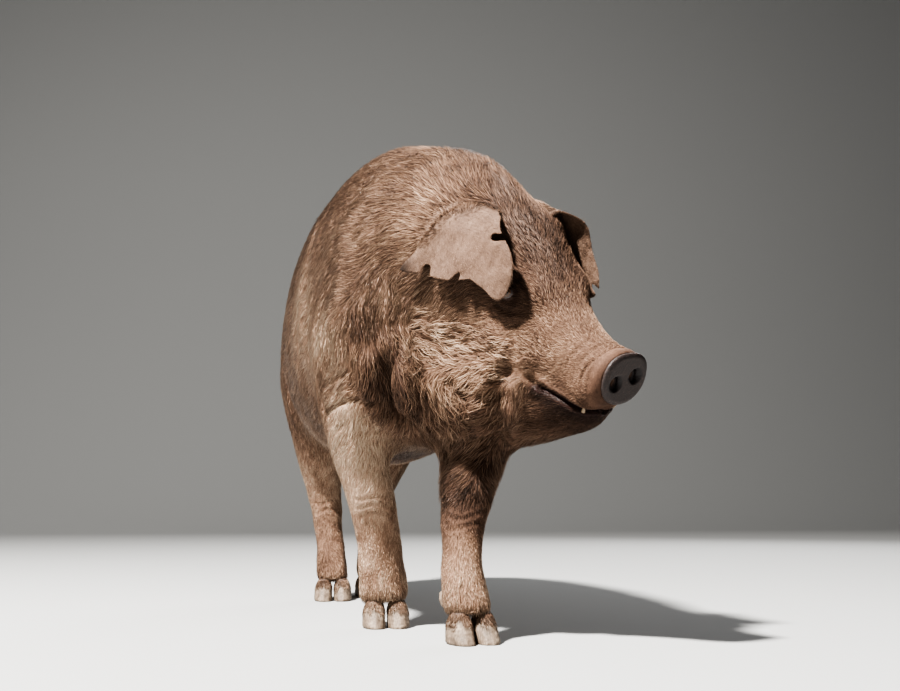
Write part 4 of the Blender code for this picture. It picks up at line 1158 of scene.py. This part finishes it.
# ------------------------------------------------------------------ snout disc
# The flat end of the snout is bare gristly skin, moist and dark, finely pitted, with a raised rim
# and two round nostrils.
NOSTRIL_HALF_HEIGHT, NOSTRIL_HALF_WIDTH = 0.0145, 0.0170
NOSTRIL_ASIDE, NOSTRIL_DEPTH = 0.0222, 0.0065
disc = refined("snout_disc", "snout", 0.0016, 8)
points, normals = places_of(disc), normals_of(disc)
fore, high, aside = (head_places(points) - (DISC_BACK, DISC_HEIGHT, 0.0)).T
round_off = np.hypot(high / DISC_HALF_HEIGHT, aside / DISC_HALF_WIDTH)
front = rise(fore, 0.001, 0.006)
rim = np.exp(-(((round_off - 0.86) / 0.10) ** 2)) * front
dish = np.exp(-((round_off / 0.45) ** 2)) * front
points += normals * (0.0003 * rim - 0.0012 * dish)[:, None]
nostril = np.full(len(points), 1.5)
for side in SIDES.values():
    off_middle = np.hypot((high + 0.0010 - 0.0045 * side) / NOSTRIL_HALF_HEIGHT,
                          (aside - NOSTRIL_ASIDE * side) / NOSTRIL_HALF_WIDTH)
    nostril = np.minimum(nostril, off_middle)
funnel = (1 - rise(nostril, 0.40, 1.05)) * front
points -= HEAD_AXES[0] * NOSTRIL_DEPTH * funnel[:, None]
waist = 1 - 0.09 * (1 - rise(fore, 0.000, 0.007))  # it is narrower where the hide closes round it
across = head_places(points) - (DISC_BACK, DISC_HEIGHT, 0.0)
across *= np.stack((np.ones(len(waist)), waist, waist), 1)
put(disc, on_head(across + (DISC_BACK, DISC_HEIGHT, 0.0)))
# painted shade: the nostrils are coloured near black, over and round their pits
put_value(disc, "nostril", (1 - rise(nostril, 0.80, 1.10)) * rise(fore, -0.008, 0.004))
put_value(disc, "rim", 1 - rise(fore, -0.003, 0.003))
DISC_STOPS = (
    (0.20, (0.008, 0.005, 0.005)),
    (0.50, (0.024, 0.015, 0.013)),
    (0.80, (0.070, 0.046, 0.039)),
)
moist_skin, start, shader = finish("moist_snout", Specular_IOR_Level=0.5)
place = object_place(start)
pits = start.node("TexVoronoi", {"feature": "F1"}, {"Vector": place, "Scale": 420.0}, "Distance")
fine = speckle(start, place, 300.0, 3.0)
hollow = reading(start, "nostril")
edge = reading(start, "rim")
colour = ramped(start, DISC_STOPS, fine * 0.7 + pits * 0.3)
colour = blended(start, edge * (fine + 0.25), colour, (0.250, 0.150, 0.105, 1.0))
# painted shade in the nostrils
colour = blended(start, hollow, colour, (0.008, 0.004, 0.004, 1.0))
joined_to(shader, Base_Color=colour, Roughness=0.50 + fine * 0.2 + edge * 0.2,
          Normal=bump(start, pits + fine * 0.5, 0.5, 0.0010))
placed(disc, moist_skin, "disc_skin", "snout_disc")

# ------------------------------------------------------------------ eyes
# Small deep-set eyes: a dark pupil in a brown iris, wet all over. Each is a whole ball held between
# the dark-rimmed lids of the hide.
EYE_STOPS = (
    (0.00, (0.004, 0.003, 0.003)),
    (0.34, (0.006, 0.004, 0.003)),
    (0.40, (0.110, 0.050, 0.022)),
    (0.66, (0.060, 0.028, 0.014)),
    (0.74, (0.018, 0.010, 0.007)),
    (0.86, (0.060, 0.040, 0.034)),
)
wet_eye, start, shader = finish("wet_eye", Roughness=0.06, Specular_IOR_Level=0.6, Coat_Roughness=0.02)
off_gaze = reading(start, "gaze")
fibres = speckle(start, object_place(start), 700.0, 2.0)
colour = ramped(start, EYE_STOPS, off_gaze + (fibres - 0.5) * 0.06)
joined_to(shader, Base_Color=colour)
IRIS_REACH = radians(58)  # the edge of what is painted, off the line of sight


def by_corners(face):
    """A number to sort faces by, since a new sphere has them in another order every time."""
    number = 0.0
    for corner in sorted(v.index for v in face.verts):
        number = number * 2000 + corner
    return number


for name, side in SIDES.items():
    middle = EYE_MIDDLES[side]
    out, up, ahead = eye_axes(side)
    bm = bmesh.new()
    bmesh.ops.create_uvsphere(bm, u_segments=48, v_segments=32, radius=EYE_RADIUS)
    bm.verts.index_update()
    bm.faces.sort(key=by_corners)
    ball = piece_from(f"eyeball_{name}", bm)
    points = places_of(ball)
    facing = points @ out / EYE_RADIUS
    cornea = 1 + 0.035 * rise(facing, 0.80, 0.97)
    put(ball, middle + points * cornea[:, None])
    put_value(ball, "gaze", np.arccos(np.clip(facing, -1, 1)) / IRIS_REACH)
    shaded_round(ball.data)
    placed(ball, wet_eye, "eye", f"eye_{name}")

# ------------------------------------------------------------------ tusks
# Only the tips of the lower tusks show between the lips. They are enamel, yellowed and stained, and
# grow from the lower jaw.
enamel, start, shader = finish("tusk_enamel", Roughness=0.3, Specular_IOR_Level=0.5)
stain = speckle(start, object_place(start), 250.0, 3.0)
colour = blended(start, stain, (0.26, 0.20, 0.13, 1.0), (0.12, 0.08, 0.05, 1.0))
joined_to(shader, Base_Color=colour)
TUSK_INWARD = 0.0035  # they stand that much further in than the solids, clear of the lip
for side, sign in SIDES.items():
    tusk = refined(f"tusk_{side}", f"tusk_tip_{side}", 0.0008, 3)
    put(tusk, places_of(tusk) - HEAD_AXES[2] * (TUSK_INWARD * sign))
    placed(tusk, enamel, "enamel", f"tusk_{side}")

# ------------------------------------------------------------------ claws
# Each foot stands on two horn claws, with two small dewclaws behind. The horn is pale, ringed by
# growth, scuffed and chipped at the sole.
HORN_STOPS = (
    (0.25, (0.060, 0.042, 0.030)),
    (0.52, (0.170, 0.126, 0.092)),
    (0.80, (0.330, 0.265, 0.205)),
)
horn, start, shader = finish("pale_horn", Specular_IOR_Level=0.4)
place = object_place(start)
fibre = speckle(start, stretched(start, place, (1.0, 1.0, 0.15)), 420.0, 3.0)
dirt = speckle(start, place, 60.0, 4.0)
covered = reading(start, "covered")
colour = ramped(start, HORN_STOPS, fibre * 0.6 + dirt * 0.8 - 0.20)
colour = blended(start, covered, colour, (0.050, 0.029, 0.020, 1.0))
joined_to(shader, Base_Color=colour, Roughness=0.5 + dirt * 0.3,
          Normal=bump(start, fibre + dirt * 0.5, 0.5, 0.0012))
for limb in LIMBS:
    for side in SIDES:
        claw = refined(f"{limb}_claw_{side}", f"{limb}_horn_{side}", 0.0022, 5)
        points, normals = places_of(claw), normals_of(claw)
        lift = points[:, 2] / points[:, 2].max()
        rings = np.sin(lift * 34 + 1.5 * ripple(points, 0.03, 51)) * 0.00022
        chips = -0.0010 * np.clip(ripple(points, 0.010, 52) - 0.7, 0, 1) * (1 - rise(lift, 0.05, 0.25))
        points += normals * ((rings + chips) * rise(lift, 0.02, 0.1))[:, None]
        tuck = 1 - 0.30 * rise(lift, 0.70, 1.0)[:, None]  # the top goes in under the coronet
        middle = points[:, :2].mean(0)
        points[:, :2] = middle + (points[:, :2] - middle) * tuck
        points[:, 2] = np.maximum(points[:, 2], 0.0) + 0.006 * rise(lift, 0.70, 1.0)
        put(claw, points)
        put_value(claw, "covered", rise(lift, 0.74, 0.90))
        # short hair from the coronet hangs over the top of the horn in a ragged edge
        normals = normals_of(claw)
        fringe = np.tile((0.0, 0.0, -1.0, 0.011, 0.0014, 0.0012, 0.3), (len(points), 1))
        clear = lift < 0.68 + 0.07 * ripple(points, 0.015, 82)
        grown = tufts(points, normals, triangles_of(claw), fringe, clear, np.zeros(len(points)), 81)
        coat_piece(f"coat_{limb}_claw_{side}", grown, points.mean(0), UPRIGHT_AXES, paler=-0.12)
        placed(claw, horn, "hoof_horn", f"{limb}_claw_{side}")
        dewclaw = refined(f"{limb}_dewclaw_{side}", f"{limb}_spur_{side}", 0.0012, 4)
        put_value(dewclaw, "covered", np.zeros(len(dewclaw.data.vertices)))
        placed(dewclaw, horn, "hoof_horn", f"{limb}_dewclaw_{side}")

# ------------------------------------------------------------------ tail
# A thin tail with a loose curl, rooted high on the rump. It is hide over bone, haired along its
# length and tasselled at the tip.
tail = refined("tail", "tail_curl", 0.0028, 8)
points = places_of(tail)
put_value(tail, "tone", tone(points))
for name in ("wet", "lid"):
    put_value(tail, name, np.zeros(len(points)))
placed(tail, hide, "coat", "tail")
share = rise(points[:, 2].max() - points[:, 2], 0.02, 0.16)
coat = np.tile((0.0, 0.25, -1.0, 0.0, 0.0022, 0.0014, 0.5), (len(points), 1))
coat[:, 3] = 0.010 + 0.022 * share
grown = tufts(points, normals_of(tail), triangles_of(tail), coat, np.zeros(len(points), bool),
              0.5 * share, 71)
coat_piece("coat_tail", grown, points.mean(0), BODY_AXES)

# ------------------------------------------------------------------ floor, light and camera
# A plain pale studio floor that runs up into a plain backdrop, a key light from high on the pig's
# right, and soft light all round.
FLOOR_REACH = 14.0
COVE_START, COVE_RADIUS, BACKDROP_HEIGHT = 7.0, 4.0, 14.0
profile = [(-FLOOR_REACH, 0.0), (COVE_START, 0.0)]
for step in range(1, 13):
    turn = pi / 2 * step / 12
    profile.append((COVE_START + COVE_RADIUS * sin(turn), COVE_RADIUS * (1 - cos(turn))))
profile.append((COVE_START + COVE_RADIUS, BACKDROP_HEIGHT))
bm = bmesh.new()
rows = [[bm.verts.new((x, y, z)) for x in (-FLOOR_REACH, FLOOR_REACH)] for y, z in profile]
for near_row, far_row in zip(rows, rows[1:]):
    bm.faces.new((near_row[0], near_row[1], far_row[1], far_row[0]))
floor = piece_from("studio_floor", bm)
shaded_round(floor.data)
paper, *_ = finish("pale_paper", Roughness=0.9, Base_Color=(0.34, 0.34, 0.335, 1.0))
floor.data.materials.append(paper)

KEY_FROM, KEY_DISTANCE = (-0.443, -0.342, 0.829), 6.0  # right of the pig, in front and high


def area_light(name, place, target, size, power, colour):
    data = bpy.data.lights.new(name, "AREA")
    data.shape = "DISK"
    data.size = size
    data.energy = power
    data.color = colour
    lamp = bpy.data.objects.new(name, data)
    lamp.location = place
    lamp.rotation_euler = (Vector(target) - Vector(place)).to_track_quat("-Z", "Y").to_euler()
    bpy.context.scene.collection.objects.link(lamp)


area_light("key", Vector(KEY_FROM).normalized() * KEY_DISTANCE, (0, 0, 0.5), 0.45, 1680,
           (1.0, 0.98, 0.95))
area_light("fill", (3.2, -3.6, 1.6), (0, 0, 0.5), 3.0, 8, (0.95, 0.97, 1.0))
area_light("back", (2.6, 3.4, 2.8), (0, 0, 0.6), 2.6, 120, (1.0, 1.0, 1.0))
world = bpy.data.worlds.new("studio")
world.use_nodes = True
sky = world.node_tree.nodes["Background"].inputs
sky["Color"].default_value = (0.72, 0.73, 0.75, 1.0)
sky["Strength"].default_value = 0.10
bpy.context.scene.world = world
bpy.context.scene.view_settings.look = "AgX - High Contrast"

CAMERA_FROM = (-0.5003, -1.8575, -0.3520)  # from the head's pivot
CAMERA_YAW, CAMERA_TILT = 13.0, 8.363
camera_data = bpy.data.cameras.new("camera")
camera_data.sensor_width = 36.0
camera_data.lens = 45.44
camera_data.shift_x = -0.0100
camera_data.shift_y = -0.0083
camera = bpy.data.objects.new("camera", camera_data)
camera.location = HEAD_PIVOT + CAMERA_FROM
camera.rotation_euler = (radians(90 + CAMERA_TILT), 0.0, radians(-CAMERA_YAW))
bpy.context.scene.collection.objects.link(camera)
bpy.context.scene.camera = camera
